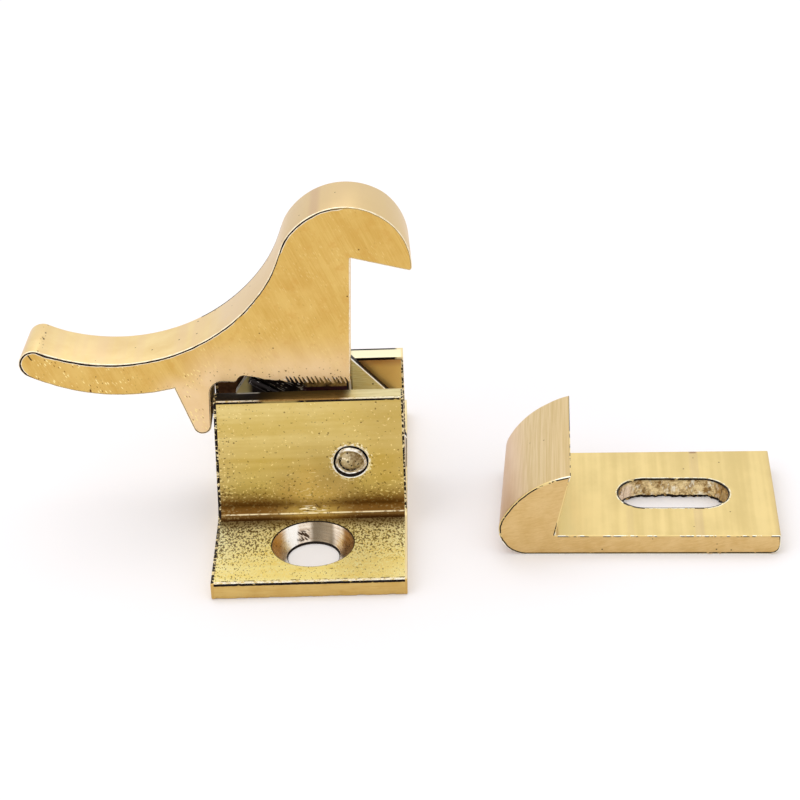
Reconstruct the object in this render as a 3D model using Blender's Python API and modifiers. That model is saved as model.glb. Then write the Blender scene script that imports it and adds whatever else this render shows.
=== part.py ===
"""Elbow catch for a cupboard door, in solid brass, with its strike plate.

A channel bracket, cut from an extruded bar, screws to the cabinet. A sprung
lever turns on a pin through the channel's walls: pressing the long arm down
draws the hook back from the lip of the strike, which is screwed to the door.

Metres, +Z up. The origin is the middle of the bracket's underside. +X runs
along the extrusion, from the lever's arm towards the hook and the strike.
"""
import bmesh
import bpy
from math import acos, atan2, ceil, cos, degrees, hypot, pi, radians, sin
from mathutils import Matrix, Vector

# Bracket: an open channel between two feet
BRACKET_WIDTH = 0.0190
BRACKET_HEIGHT = 0.0149
FOOT_THICKNESS = 0.00176
FOOT_DEPTH = 0.0123
WALL_THICKNESS = 0.00195
CHANNEL_WIDTH = 0.0064
FOOT_FILLET = 0.0011
FLOOR_FILLET = 0.0004
SCREW_HOLE = 0.0051
SCREW_HOLE_FROM_WALL = 0.0055
SCREW_HOLE_OFFSET = 0.0002
COUNTERSINK = 0.0083

# Pin: riveted over a little at both ends
PIN_DIAMETER = 0.0030
PIN_HEIGHT = 0.0078
PIN_FROM_RIGHT_END = 0.0054
PIN_HEAD_DIAMETER = 0.0036
PIN_HEAD_HEIGHT = 0.0004
PIN_SEAT_CLEARANCE = 0.00003
PIN_RUNNING_CLEARANCE = 0.00008

# Lever, measured from the pin: x towards the hook, z up
LEVER_SIDE_CLEARANCE = 0.00025
REST_LEAN = 2.4
TIP_AT = (-0.03122, 0.00942)
TIP_RADIUS = 0.0015
ARM_TOP_RADIUS = 0.0175
ARM_UNDER_RADIUS = 0.0203
DOME_AT = (-0.00055, 0.02042)
DOME_RADIUS = 0.0064
FACE_X = -0.00013
RECESS_HEIGHT = 0.02142
LATCH_SLOPE = 12.6
SHOULDER_HEIGHT = 0.0077
POCKET_HEIGHT = 0.00787
NOTCH_HEIGHT = 0.00815
WEB_THICKNESS = 0.0011
WEB_TAIL_INSET = 0.00205
WEB_TAIL_HEIGHT = 0.0038
NOTCH_WIDTH = 0.00465
HEEL_REACH = 0.0056
HEEL_CORNER = 0.0011
HEEL_CLEARANCE = 0.00035
PRONG_CLEARANCE = 0.00035
PRONG_DEPTH = 0.0026
PRONG_TIP_RADIUS = 0.0009
PRONG_FILLET = 0.0013
PRONG_ROOT_WIDTH = 0.00355
PRONG_ROOT_HEIGHT = 0.00685

# Torsion spring, wound round the pin in the lever's pocket
WIRE_DIAMETER = 0.00085
COIL_CLEARANCE = 0.0002
COIL_END_CLEARANCE = 0.0003
FULL_TURNS = 3
UPPER_LEG_RISE = 28.0
LOWER_LEG_DROP = 18.0
LEG_CLEARANCE = 0.0003

# Strike: a plate with a lip that the hook pulls against
STRIKE_WIDTH = 0.0158
STRIKE_THICKNESS = 0.0022
STRIKE_PLATE_END = 0.01015
STRIKE_HEEL_X = -0.01735
LIP_HEEL_RADIUS = 0.0028
LIP_BACK_RADIUS = 0.0096
LIP_TIP = (-0.0104, 0.00906)
LIP_ROOT_X = -0.01186
SLOT_LENGTH = 0.0111
SLOT_WIDTH = 0.00545
STRIKE_AT = (0.0364, -0.0038)
STRIKE_TURN = -2.8

# Facets
ARC_STEP = 4.0
ROUND_STEPS = 48
COIL_STEPS = 24

LEVER_THICKNESS = CHANNEL_WIDTH - 2 * LEVER_SIDE_CLEARANCE
WALL_FRONT_Y = CHANNEL_WIDTH / 2 + WALL_THICKNESS
PIN_X = BRACKET_WIDTH / 2 - PIN_FROM_RIGHT_END
HEEL_DEPTH = PIN_HEIGHT - FOOT_THICKNESS - HEEL_CLEARANCE
PRONG_FACE_X = -(BRACKET_WIDTH / 2 + PIN_X) - PRONG_CLEARANCE
PRONG_ROOT = (PRONG_FACE_X - PRONG_ROOT_WIDTH, PRONG_ROOT_HEIGHT)
WEB_TAIL = (PRONG_FACE_X + WEB_TAIL_INSET, WEB_TAIL_HEIGHT)
WEB_ROOT_X = PRONG_FACE_X + NOTCH_WIDTH


def polar(centre, radius, angle):
    """Point at an angle in radians on a circle."""
    return (centre[0] + radius * cos(angle), centre[1] + radius * sin(angle))


def bearing(start, end):
    """Direction from one point to another, in radians."""
    return atan2(end[1] - start[1], end[0] - start[0])


def arc(centre, radius, start, end, clockwise):
    """Points on a circle from one direction round to another, both included."""
    turn = (start - end if clockwise else end - start) % (2 * pi)
    count = max(2, ceil(degrees(turn) / ARC_STEP))
    step = (-turn if clockwise else turn) / count
    return [polar(centre, radius, start + step * i) for i in range(count + 1)]


def circles_meet(a, radius_a, b, radius_b, side):
    """Where two circles cross, on the left (1) or right (-1) of the line from a to b."""
    gap = hypot(b[0] - a[0], b[1] - a[1])
    lean = acos((radius_a ** 2 + gap ** 2 - radius_b ** 2) / (2 * radius_a * gap))
    return polar(a, radius_a, bearing(a, b) + side * lean)


def touch_angle(point, centre, radius, side):
    """Direction, from a circle's centre, of the spot that a line from the point touches."""
    gap = hypot(point[0] - centre[0], point[1] - centre[1])
    return bearing(centre, point) + side * acos(radius / gap)


def line_meets_circle(point, angle, centre, radius):
    """Far crossing of a circle by the line through a point at an angle."""
    along = (centre[0] - point[0]) * cos(angle) + (centre[1] - point[1]) * sin(angle)
    aside = (centre[1] - point[1]) * cos(angle) - (centre[0] - point[0]) * sin(angle)
    reach = along + (radius ** 2 - aside ** 2) ** 0.5
    return (point[0] + reach * cos(angle), point[1] + reach * sin(angle))


def clear_scene():
    for item in list(bpy.data.objects):
        bpy.data.objects.remove(item, do_unlink=True)


def new_collection(name):
    group = bpy.data.collections.new(name)
    bpy.context.scene.collection.children.link(group)
    return group


def metal(name, colour, roughness):
    material = bpy.data.materials.new(name)
    material.use_nodes = True
    shader = material.node_tree.nodes["Principled BSDF"]
    shader.inputs["Base Color"].default_value = (*colour, 1.0)
    shader.inputs["Metallic"].default_value = 1.0
    shader.inputs["Roughness"].default_value = roughness
    material.diffuse_color = (*colour, 1.0)
    return material


def curve_to_mesh(curve_object, group):
    """The curve's solid as a mesh of its own, welded at the caps; the curve is removed."""
    bpy.context.view_layer.update()
    evaluated = curve_object.evaluated_get(bpy.context.evaluated_depsgraph_get())
    mesh = bpy.data.meshes.new_from_object(evaluated)
    work = bmesh.new()
    work.from_mesh(mesh)
    bmesh.ops.remove_doubles(work, verts=work.verts, dist=1e-6)
    bmesh.ops.recalc_face_normals(work, faces=work.faces)
    work.to_mesh(mesh)
    work.free()
    name = curve_object.name
    curve = curve_object.data
    solid = bpy.data.objects.new(name + "_solid", mesh)
    solid.matrix_world = curve_object.matrix_world.copy()
    bpy.data.objects.remove(curve_object, do_unlink=True)
    bpy.data.curves.remove(curve)
    solid.name = name
    mesh.name = name
    group.objects.link(solid)
    return solid


def extrusion(name, outline, thickness, group, across):
    """Flat outline made solid, centred on its plane; across is the turn that stands it up."""
    curve = bpy.data.curves.new(name, "CURVE")
    curve.dimensions = "2D"
    curve.fill_mode = "BOTH"
    curve.extrude = thickness / 2
    spline = curve.splines.new("POLY")
    spline.points.add(len(outline) - 1)
    for spot, (x, y) in zip(spline.points, outline):
        spot.co = (x, y, 0.0, 1.0)
    spline.use_cyclic_u = True
    flat = bpy.data.objects.new(name, curve)
    group.objects.link(flat)
    solid = curve_to_mesh(flat, group)
    solid.data.transform(across)
    return solid


def turned(name, profile, group):
    """Solid of revolution about Z from (radius, height) points, top to bottom."""
    mesh = bpy.data.meshes.new(name)
    points = [(radius, 0.0, height) for radius, height in profile]
    mesh.from_pydata(points, [(i, i + 1) for i in range(len(points) - 1)], [])
    solid = bpy.data.objects.new(name, mesh)
    group.objects.link(solid)
    screw = solid.modifiers.new("Turn", "SCREW")
    screw.steps = ROUND_STEPS
    screw.render_steps = ROUND_STEPS
    screw.use_merge_vertices = True
    screw.merge_threshold = 0.00001
    return solid


def hide_cutter(cutter):
    cutter.hide_render = True
    cutter.display_type = "WIRE"
    return cutter


def cut(target, cutter):
    boolean = target.modifiers.new("Cut " + cutter.name, "BOOLEAN")
    boolean.operation = "DIFFERENCE"
    boolean.solver = "EXACT"
    boolean.object = cutter


def cross_bore(name, diameter, length, group):
    """Cylinder along Y at the pin's axis."""
    bpy.ops.mesh.primitive_cylinder_add(vertices=ROUND_STEPS, radius=diameter / 2, depth=length)
    cutter = bpy.context.object
    for owner in list(cutter.users_collection):
        owner.objects.unlink(cutter)
    group.objects.link(cutter)
    cutter.name = name
    cutter.location = (PIN_X, 0.0, PIN_HEIGHT)
    cutter.rotation_euler = (pi / 2, 0.0, 0.0)
    return hide_cutter(cutter)


def shade(solid, angle=30.0):
    solid.data.shade_smooth()
    solid.data.set_sharp_from_angle(angle=radians(angle))


def bracket_half_outline():
    """One side of the bracket's section, from the channel's middle out to the foot and back."""
    inner = CHANNEL_WIDTH / 2
    foot_end = WALL_FRONT_Y + FOOT_DEPTH
    floor_round = (inner - FLOOR_FILLET, FOOT_THICKNESS + FLOOR_FILLET)
    foot_round = (WALL_FRONT_Y + FOOT_FILLET, FOOT_THICKNESS + FOOT_FILLET)
    outline = arc(floor_round, FLOOR_FILLET, -pi / 2, 0.0, clockwise=False)
    outline += [(inner, BRACKET_HEIGHT), (WALL_FRONT_Y, BRACKET_HEIGHT)]
    outline += arc(foot_round, FOOT_FILLET, pi, 3 * pi / 2, clockwise=False)
    outline += [(foot_end, FOOT_THICKNESS), (foot_end, 0.0)]
    return outline


def countersunk_cutter(name, y, group):
    """Screw hole with a 90 degree countersink from the top of a foot."""
    over = 0.001
    sink_depth = (COUNTERSINK - SCREW_HOLE) / 2
    top = FOOT_THICKNESS
    profile = [
        (0.0, top + over),
        (COUNTERSINK / 2 + over, top + over),
        (SCREW_HOLE / 2, top - sink_depth),
        (SCREW_HOLE / 2, -over),
        (0.0, -over),
    ]
    cutter = turned(name, profile, group)
    cutter.location = (SCREW_HOLE_OFFSET, y, 0.0)
    return hide_cutter(cutter)


def make_bracket(parts, cutters, material):
    half = bracket_half_outline()
    outline = half + [(-y, z) for y, z in reversed(half)]
    along_x = Matrix(((0, 0, 1, 0), (1, 0, 0, 0), (0, 1, 0, 0), (0, 0, 0, 1)))
    bracket = extrusion("bracket", outline, BRACKET_WIDTH, parts, along_x)
    bracket.data.materials.append(material)
    bore = PIN_DIAMETER + 2 * PIN_SEAT_CLEARANCE
    cut(bracket, cross_bore("bracket_pin_bore", bore, 2 * WALL_FRONT_Y + 0.002, cutters))
    hole_y = WALL_FRONT_Y + SCREW_HOLE_FROM_WALL
    for name, y in (("front_screw_hole", -hole_y), ("back_screw_hole", hole_y)):
        cut(bracket, countersunk_cutter(name, y, cutters))
    shade(bracket)
    return bracket


def make_pin(parts, material):
    """Pin across the channel, its ends riveted into low domes on the walls' outer faces."""
    shank = PIN_DIAMETER / 2
    head = PIN_HEAD_DIAMETER / 2
    seat = WALL_FRONT_Y
    dome_radius = (head ** 2 + PIN_HEAD_HEIGHT ** 2) / (2 * PIN_HEAD_HEIGHT)
    centre = (0.0, seat + PIN_HEAD_HEIGHT - dome_radius)
    edge = bearing(centre, (head, seat))
    count = 5
    dome = [polar(centre, dome_radius, pi / 2 + (edge - pi / 2) * i / count) for i in range(count + 1)]
    dome[0] = (0.0, dome[0][1])
    upper = dome + [(shank, seat)]
    profile = upper + [(radius, -height) for radius, height in reversed(upper)]
    pin = turned("pivot_pin", profile, parts)
    pin.location = (PIN_X, 0.0, PIN_HEIGHT)
    pin.rotation_euler = (pi / 2, 0.0, 0.0)
    pin.data.materials.append(material)
    shade(pin)
    return pin


def arm_outline(dome_back, root):
    """Underside of the arm from the prong, round the tip, and along the top to the dome."""
    tip = TIP_AT
    under = circles_meet(tip, ARM_UNDER_RADIUS - TIP_RADIUS, root, ARM_UNDER_RADIUS, 1)
    points = arc(under, ARM_UNDER_RADIUS, bearing(under, root), bearing(under, tip), clockwise=True)
    points += arc(tip, TIP_RADIUS, bearing(under, tip), bearing(tip, dome_back), clockwise=True)[1:]
    points += arc(dome_back, ARM_TOP_RADIUS, bearing(dome_back, tip),
                  bearing(dome_back, DOME_AT), clockwise=False)[1:]
    return points


def hook_outline(dome_back):
    """Dome over the hook, its sloping latch face and the upright face below."""
    slope = -radians(LATCH_SLOPE)
    recess = (FACE_X, RECESS_HEIGHT)
    beak = line_meets_circle(recess, slope, DOME_AT, DOME_RADIUS)
    points = arc(DOME_AT, DOME_RADIUS, bearing(DOME_AT, dome_back), bearing(DOME_AT, beak), clockwise=True)
    return points[1:] + [recess, (FACE_X, SHOULDER_HEIGHT)]


def web_outline():
    """Hub round the pin: a bevelled shoulder, a heel over the channel's floor and a tail."""
    shoulder = (HEEL_REACH, SHOULDER_HEIGHT - (HEEL_REACH - FACE_X))
    corner = (HEEL_REACH - HEEL_CORNER, HEEL_CORNER - HEEL_DEPTH)
    points = [shoulder]
    points += arc(corner, HEEL_CORNER, 0.0, -pi / 2, clockwise=True)
    tail_touch = touch_angle(WEB_TAIL, (0.0, 0.0), HEEL_DEPTH, 1)
    points += arc((0.0, 0.0), HEEL_DEPTH, -pi / 2, tail_touch, clockwise=True)
    return points + [WEB_TAIL, (WEB_ROOT_X, NOTCH_HEIGHT)]


def prong_outline():
    """Prong that hangs just outside the bracket's end, from its inner root to its outer one."""
    face = PRONG_FACE_X
    fillet = (face + PRONG_FILLET, NOTCH_HEIGHT - PRONG_FILLET)
    tip = (face - PRONG_TIP_RADIUS, PRONG_DEPTH)
    points = arc(fillet, PRONG_FILLET, pi / 2, pi, clockwise=False)
    points += arc(tip, PRONG_TIP_RADIUS, 0.0, touch_angle(PRONG_ROOT, tip, PRONG_TIP_RADIUS, 1), clockwise=True)
    return points


def lever_outline():
    dome_back = circles_meet(TIP_AT, ARM_TOP_RADIUS + TIP_RADIUS, DOME_AT, ARM_TOP_RADIUS + DOME_RADIUS, 1)
    points = arm_outline(dome_back, PRONG_ROOT)
    points += hook_outline(dome_back)
    points += web_outline()
    points += prong_outline()
    return points


def pocket_cutter(group):
    """Block that mills the lever down to its web, from the front and below the hook."""
    over = 0.002
    left = (WEB_TAIL[0] + PRONG_FACE_X) / 2
    right = HEEL_REACH + over
    low = -HEEL_DEPTH - over
    front = -LEVER_THICKNESS / 2 - over
    back = LEVER_THICKNESS / 2 - WEB_THICKNESS
    size = Vector((right - left, back - front, POCKET_HEIGHT - low))
    middle = Vector((right + left, back + front, POCKET_HEIGHT + low)) / 2
    mesh = bpy.data.meshes.new("spring_pocket")
    work = bmesh.new()
    bmesh.ops.create_cube(work, size=1.0, matrix=Matrix.Translation(middle) @ Matrix.Diagonal((*size, 1.0)))
    work.to_mesh(mesh)
    work.free()
    cutter = bpy.data.objects.new("spring_pocket", mesh)
    group.objects.link(cutter)
    return hide_cutter(cutter)


def make_lever(parts, cutters, material):
    upright = Matrix.Rotation(pi / 2, 4, "X")
    lever = extrusion("lever", lever_outline(), LEVER_THICKNESS, parts, upright)
    lever.data.materials.append(material)
    pivot = bpy.data.objects.new("lever_pivot", None)
    pivot.location = (PIN_X, 0.0, PIN_HEIGHT)
    pivot.rotation_euler = (0.0, radians(REST_LEAN), 0.0)
    parts.objects.link(pivot)
    pocket = pocket_cutter(cutters)
    lever.parent = pivot
    pocket.parent = pivot
    cut(lever, pocket)
    bore = PIN_DIAMETER + 2 * PIN_RUNNING_CLEARANCE
    cut(lever, cross_bore("lever_pin_bore", bore, CHANNEL_WIDTH, cutters))
    shade(lever)
    return lever


def spring_path():
    """Centre line of the wire, from the end under the lever to the end on the channel floor."""
    wire = WIRE_DIAMETER / 2
    coil = PIN_DIAMETER / 2 + COIL_CLEARANCE + wire
    front = -CHANNEL_WIDTH / 2 + COIL_END_CLEARANCE + wire
    back = LEVER_THICKNESS / 2 - WEB_THICKNESS - COIL_END_CLEARANCE - wire
    start = pi / 2 - radians(UPPER_LEG_RISE)
    finish = -pi / 2 + radians(LOWER_LEG_DROP)
    sweep = start - finish + FULL_TURNS * 2 * pi
    # the roof over the upper leg leans with the lever at rest
    lean = radians(REST_LEAN)
    rise, run = sin(start + pi / 2), cos(start + pi / 2)
    roof = NOTCH_HEIGHT - wire - LEG_CLEARANCE
    leaves = polar((0.0, 0.0), coil, start)
    own_height = leaves[1] * cos(lean) + leaves[0] * sin(lean)
    upper = (roof - own_height) / (rise * cos(lean) + run * sin(lean))
    floor = PIN_HEIGHT - FOOT_THICKNESS - wire - LEG_CLEARANCE
    lower = (floor + coil * sin(finish)) / sin(radians(LOWER_LEG_DROP))
    count = ceil(COIL_STEPS * sweep / (2 * pi))
    points = [(leaves[0] + upper * run, front, leaves[1] + upper * rise)]
    for i in range(count + 1):
        share = i / count
        x, z = polar((0.0, 0.0), coil, start - sweep * share)
        points.append((x, front + (back - front) * share, z))
    x, y, z = points[-1]
    points.append((x - lower * cos(radians(LOWER_LEG_DROP)), y, z - lower * sin(radians(LOWER_LEG_DROP))))
    return points


def make_spring(parts, material):
    curve = bpy.data.curves.new("torsion_spring", "CURVE")
    curve.dimensions = "3D"
    curve.bevel_depth = WIRE_DIAMETER / 2
    curve.bevel_resolution = 2
    curve.use_fill_caps = True
    points = spring_path()
    spline = curve.splines.new("POLY")
    spline.points.add(len(points) - 1)
    for spot, point in zip(spline.points, points):
        spot.co = (*point, 1.0)
    wire = bpy.data.objects.new("torsion_spring", curve)
    wire.location = (PIN_X, 0.0, PIN_HEIGHT)
    parts.objects.link(wire)
    spring = curve_to_mesh(wire, parts)
    spring.data.materials.append(material)
    shade(spring, 50.0)
    return spring


def strike_outline():
    """Side view of the strike, from the slot's middle: rounded heel, curved back, leaning lip."""
    heel = (STRIKE_HEEL_X + LIP_HEEL_RADIUS, LIP_HEEL_RADIUS)
    back = circles_meet(LIP_TIP, LIP_BACK_RADIUS, heel, LIP_BACK_RADIUS - LIP_HEEL_RADIUS, 1)
    points = arc(heel, LIP_HEEL_RADIUS, -pi / 2, bearing(back, heel), clockwise=True)
    points += arc(back, LIP_BACK_RADIUS, bearing(back, heel), bearing(back, LIP_TIP), clockwise=True)[1:]
    points += [(LIP_ROOT_X, STRIKE_THICKNESS), (STRIKE_PLATE_END, STRIKE_THICKNESS), (STRIKE_PLATE_END, 0.0)]
    return points


def slot_cutter(group):
    """Long hole that lets the strike slide before its screw is tightened."""
    radius = SLOT_WIDTH / 2
    reach = SLOT_LENGTH / 2 - radius
    outline = arc((reach, 0.0), radius, -pi / 2, pi / 2, clockwise=False)
    outline += arc((-reach, 0.0), radius, pi / 2, 3 * pi / 2, clockwise=False)
    lift = Matrix.Translation((0.0, 0.0, STRIKE_THICKNESS / 2))
    return hide_cutter(extrusion("strike_slot", outline, STRIKE_THICKNESS + 0.002, group, lift))


def make_strike(parts, cutters, material):
    upright = Matrix.Rotation(pi / 2, 4, "X")
    strike = extrusion("strike", strike_outline(), STRIKE_WIDTH, parts, upright)
    strike.data.materials.append(material)
    slot = slot_cutter(cutters)
    for item in (strike, slot):
        item.location = (*STRIKE_AT, 0.0)
        item.rotation_euler = (0.0, 0.0, radians(STRIKE_TURN))
    cut(strike, slot)
    shade(strike)
    return strike


def build():
    clear_scene()
    parts = new_collection("Elbow catch")
    cutters = new_collection("Cutters")
    make_bracket(parts, cutters, metal("satin brass", (0.62, 0.47, 0.15), 0.34))
    make_pin(parts, metal("riveted brass", (0.42, 0.33, 0.17), 0.5))
    make_lever(parts, cutters, metal("sawn brass", (0.74, 0.50, 0.16), 0.4))
    make_spring(parts, metal("spring steel", (0.10, 0.09, 0.08), 0.35))
    make_strike(parts, cutters, metal("drawn brass", (0.76, 0.60, 0.24), 0.36))
    bpy.context.view_layer.update()


build()
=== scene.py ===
"""Look of a brass elbow catch and its strike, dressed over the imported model.

Every piece is an outline carried along a line, a profile turned round an axis
or a wire along a path, worked out in millimetres and set down in metres.
"""

import bmesh
import bpy
import numpy as np
from mathutils import Matrix, Vector
from mathutils.geometry import delaunay_2d_cdt


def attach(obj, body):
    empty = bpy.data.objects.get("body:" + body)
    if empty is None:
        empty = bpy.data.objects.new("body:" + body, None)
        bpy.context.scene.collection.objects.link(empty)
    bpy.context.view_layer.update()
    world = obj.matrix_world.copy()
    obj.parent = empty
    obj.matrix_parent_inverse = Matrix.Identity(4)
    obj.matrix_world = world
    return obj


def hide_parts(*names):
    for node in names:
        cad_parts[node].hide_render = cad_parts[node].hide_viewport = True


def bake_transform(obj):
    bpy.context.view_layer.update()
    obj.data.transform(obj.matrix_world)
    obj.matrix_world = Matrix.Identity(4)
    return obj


MM = 0.001
TAU = 2 * np.pi
ROUND_STEPS = 72

# Bracket, in millimetres
BRACKET_WIDTH = 19.0
BRACKET_HEIGHT = 14.9
FOOT_THICKNESS = 1.76
FOOT_DEPTH = 12.3
WALL_THICKNESS = 1.95
CHANNEL_WIDTH = 6.4
FOOT_FILLET = 1.1
FLOOR_FILLET = 0.4
SCREW_HOLE = 5.1
SCREW_HOLE_FROM_WALL = 5.5
SCREW_HOLE_OFFSET = 0.2
COUNTERSINK = 8.3
WALL_FACE = CHANNEL_WIDTH / 2 + WALL_THICKNESS
LEFT_END_LEAN = 0.34
BACK_END_LEAN = 0.24
LEFT_LINE = 0.3
RIGHT_LINE = 0.21
TOE_BRUISE_IN, TOE_BRUISE_DOWN = 0.03, 0.025
TOE_RAG_IN, TOE_RAG_UP = 0.05, 0.13

# Pin
PIN_AT = np.array([4.1, 0.0, 7.8])
PIN_RADIUS = 1.5
RIVET_RADIUS = 1.56
RIVET_GAP = 0.30
GAP_DEPTH = 0.3
GAP_WIDEST_AT = np.radians(262.0)
GROOVE_DEEPEST_AT = np.radians(235.0)
GROOVE_DARKEST_AT = np.radians(222.0)
HEAD_SQUASHED_AT = np.radians(258.0)

# Lever, from the pin
REST_LEAN = np.radians(2.4)
LEVER_HALF = 2.95
WEB_FRONT = 1.85
TIP_AT = np.array([-31.22, 9.42])
TIP_RADIUS = 1.5
ARM_TOP_RADIUS = 18.1
ARM_UNDER_RADIUS = 20.3
DOME_AT = np.array([-0.55, 20.42])
DOME_RADIUS = 6.4
THROAT_FILL = 0.19
THROAT_REACH = 2.6
FACE_X = -0.13
RECESS_HEIGHT = 21.42
LATCH_SLOPE = np.radians(12.6)
SHOULDER_HEIGHT = 7.7
POCKET_HEIGHT = 7.87
BURR_TIPS = 7.66
NOTCH_HEIGHT = 7.65
NOTCH_END_X = -11.53
PRONG_FACE_X = -13.95
PRONG_TIP = np.array([-14.85, 2.6])
PRONG_TIP_RADIUS = 0.9
PRONG_FILLET = 1.3
PRONG_ROOT = np.array([-17.5, 6.85])
WEB_TAIL = np.array([-11.9, 3.8])
WEB_ROOT = np.array([-9.45, 7.85])
HEEL_REACH = 5.6
HEEL_CORNER = 1.1
HEEL_DEPTH = 5.69
HEEL_STEP = 0.42
HEEL_STEP_TOP = -1.15
HEEL_STEP_RISE = 0.45
LEVER_TAPER = 0.32
WEB_GLINT_DEPTH = 0.32
BACK_LINE_DEPTH = 0.26
ARM_LINE = (0.09, 0.21)

# Spring wire
WIRE_RADIUS = 0.425
COIL_RADIUS = 2.125
COIL_FRONT = -2.475
COIL_BACK = 1.125
FULL_TURNS = 3
UPPER_LEG_RISE = np.radians(28.0)
UPPER_LEG_LENGTH = 12.4
LOWER_LEG_DROP = np.radians(18.0)
LEG_CLEARANCE = 0.3

# Strike, from the middle of its slot
STRIKE_HALF = 7.9
STRIKE_THICKNESS = 2.2
STRIKE_PLATE_END = 10.15
STRIKE_CORNER = 1.25
STRIKE_HEEL_X = -17.35
LIP_HEEL_RADIUS = 2.8
LIP_BACK_RADIUS = 9.6
LIP_TIP = np.array([-10.4, 9.06])
LIP_ROOT_X = -11.86
SLOT_LENGTH = 11.1
SLOT_WIDTH = 5.45
STRIKE_AT = np.array([36.4, -3.8, 0.0])
STRIKE_TURN = np.radians(-2.8)
LIP_SHIFT = 0.13
LIP_TAPER = 0.27
BACK_SKEW = 0.35
END_SKEW = 0.022
FRONT_WAVE = 0.14

# Camera, fitted to the bracket's and the strike's edges: yaw, pitch and roll, place, lens
CAMERA_TURN = np.radians([-1.117, 29.79, -2.136])
CAMERA_AT = np.array([13.24, -211.56, 132.84])
CAMERA_LENS = 109.15

# Colour of the painted shade and grime along edges
EDGE_SHADE_AND_GRIME = (0.012, 0.007, 0.005)


# Plane geometry

def on_circle(centre, radius, angle):
    """centre + radius (cos angle, sin angle)."""
    return np.asarray(centre) + radius * np.array([np.cos(angle), np.sin(angle)])


def bearing(start, end):
    """Angle of the line from start to end."""
    return np.arctan2(end[1] - start[1], end[0] - start[0])


def arc_run(centre, radius, start, end, clockwise=False, spacing=0.25):
    """Circle points centre + radius (cos a, sin a), with a stepping evenly from start round to end."""
    turn = (start - end if clockwise else end - start) % TAU
    count = max(4, int(np.ceil(radius * turn / spacing)) + 1)
    a = start + np.linspace(0.0, -turn if clockwise else turn, count)
    return np.stack([centre[0] + radius * np.cos(a), centre[1] + radius * np.sin(a)], 1)


def straight_run(start, end, spacing=0.5):
    """Points start + t (end - start), t even between 0 and 1."""
    start, end = np.asarray(start, float), np.asarray(end, float)
    count = max(2, int(np.ceil(np.linalg.norm(end - start) / spacing)) + 1)
    t = np.linspace(0.0, 1.0, count)[:, None]
    return start + t * (end - start)


def circles_meet(a, radius_a, b, radius_b):
    """Crossing of two circles on the left of the line from a to b, by the law of cosines."""
    gap = np.linalg.norm(np.asarray(b) - np.asarray(a))
    lean = np.arccos((radius_a ** 2 + gap ** 2 - radius_b ** 2) / (2 * radius_a * gap))
    return on_circle(a, radius_a, bearing(a, b) + lean)


def touch_angle(point, centre, radius):
    """Angle of the tangent spot: the bearing to the point plus arccos(radius / distance)."""
    gap = np.linalg.norm(np.asarray(point) - np.asarray(centre))
    return bearing(centre, point) + np.arccos(radius / gap)


def eased_corner(before, corner, after, reach, count=5, low=0.0, high=0.0):
    """Quadratic curve (1-t)^2 P + 2t(1-t) corner + t^2 Q, P and Q lying reach along each side.

    A low or high width adds one point that far along the side before or after the curve.
    """
    before, corner, after = (np.asarray(p, float) for p in (before, corner, after))
    first = (before - corner) / np.linalg.norm(before - corner)
    last = (after - corner) / np.linalg.norm(after - corner)
    t = np.linspace(0.0, 1.0, count)[:, None]
    curve = (1 - t) ** 2 * (corner + first * reach) + 2 * t * (1 - t) * corner + t ** 2 * (corner + last * reach)
    extra = [corner + first * (reach + low)] if low else []
    return np.array(extra + list(curve) + ([corner + last * (reach + high)] if high else []))


def ripple(t, seed):
    """Smooth uneven wave: the sum of sin(f t + p) / f^0.5 over six unrelated frequencies, within about 1."""
    f = np.array([1.0, 1.73, 2.91, 4.37, 7.13, 11.9])
    p = seed * np.array([1.3, 2.1, 3.7, 0.9, 5.1, 4.3])
    return (np.sin(np.multiply.outer(t, f) + p) / f ** 0.5).sum(-1) / 2.2


def joined(runs, values):
    """Runs end to end without repeated points, and each point's value from its run."""
    points = np.concatenate(runs)
    value = np.concatenate([np.full(len(run), v, float) for run, v in zip(runs, values)])
    keep = np.linalg.norm(points - np.roll(points, 1, axis=0), axis=1) > 1e-5
    keep[0] = True
    return points[keep], value[keep]


def inward(outline):
    """Mitred normals of an anticlockwise outline: both edges' left normals over one plus their cosine."""
    edge = np.roll(outline, -1, axis=0) - outline
    edge /= np.linalg.norm(edge, axis=1)[:, None]
    left = np.stack([-edge[:, 1], edge[:, 0]], 1)
    before = np.roll(left, 1, axis=0)
    cosine = (before * left).sum(1)
    return (before + left) / np.maximum(1 + cosine, 0.5)[:, None]


def walk_along(outline):
    """Distance travelled along an outline at each of its points."""
    return np.cumsum(np.linalg.norm(outline - np.roll(outline, 1, axis=0), axis=1))


def rim_rings(outline, face, towards, edge, line=None, steps=3):
    """Quarter round at an end face: inset edge (1 - sin a), depth edge (1 - cos a), a from 0 to 90 degrees.

    With a line width, one more ring comes first on the flat face, inset by edge + line.
    """
    a = np.linspace(0.0, np.pi / 2, steps + 1)[:, None]
    edge = np.broadcast_to(edge, len(outline))[None]
    inset, depth = edge * (1 - np.sin(a)), face + towards * edge * (1 - np.cos(a))
    if line is not None:
        inset = np.concatenate([edge + line, inset])
        depth = np.concatenate([depth[:1], depth])
    flat = outline[None] + inset[..., None] * inward(outline)[None]
    return np.concatenate([flat, depth[..., None]], 2)


def level_ring(outline, depth):
    """The outline at one depth, as a single ring."""
    return np.concatenate([outline, np.full((len(outline), 1), depth)], 1)[None]


def round_angles(count=ROUND_STEPS):
    """Even angles round a whole turn."""
    return np.arange(count) / count * TAU


def circle_loop(centre, radius):
    """Closed ring centre + radius (cos a, sin a)."""
    a = round_angles()
    return np.stack([centre[0] + radius * np.cos(a), centre[1] + radius * np.sin(a)], 1)


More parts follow.
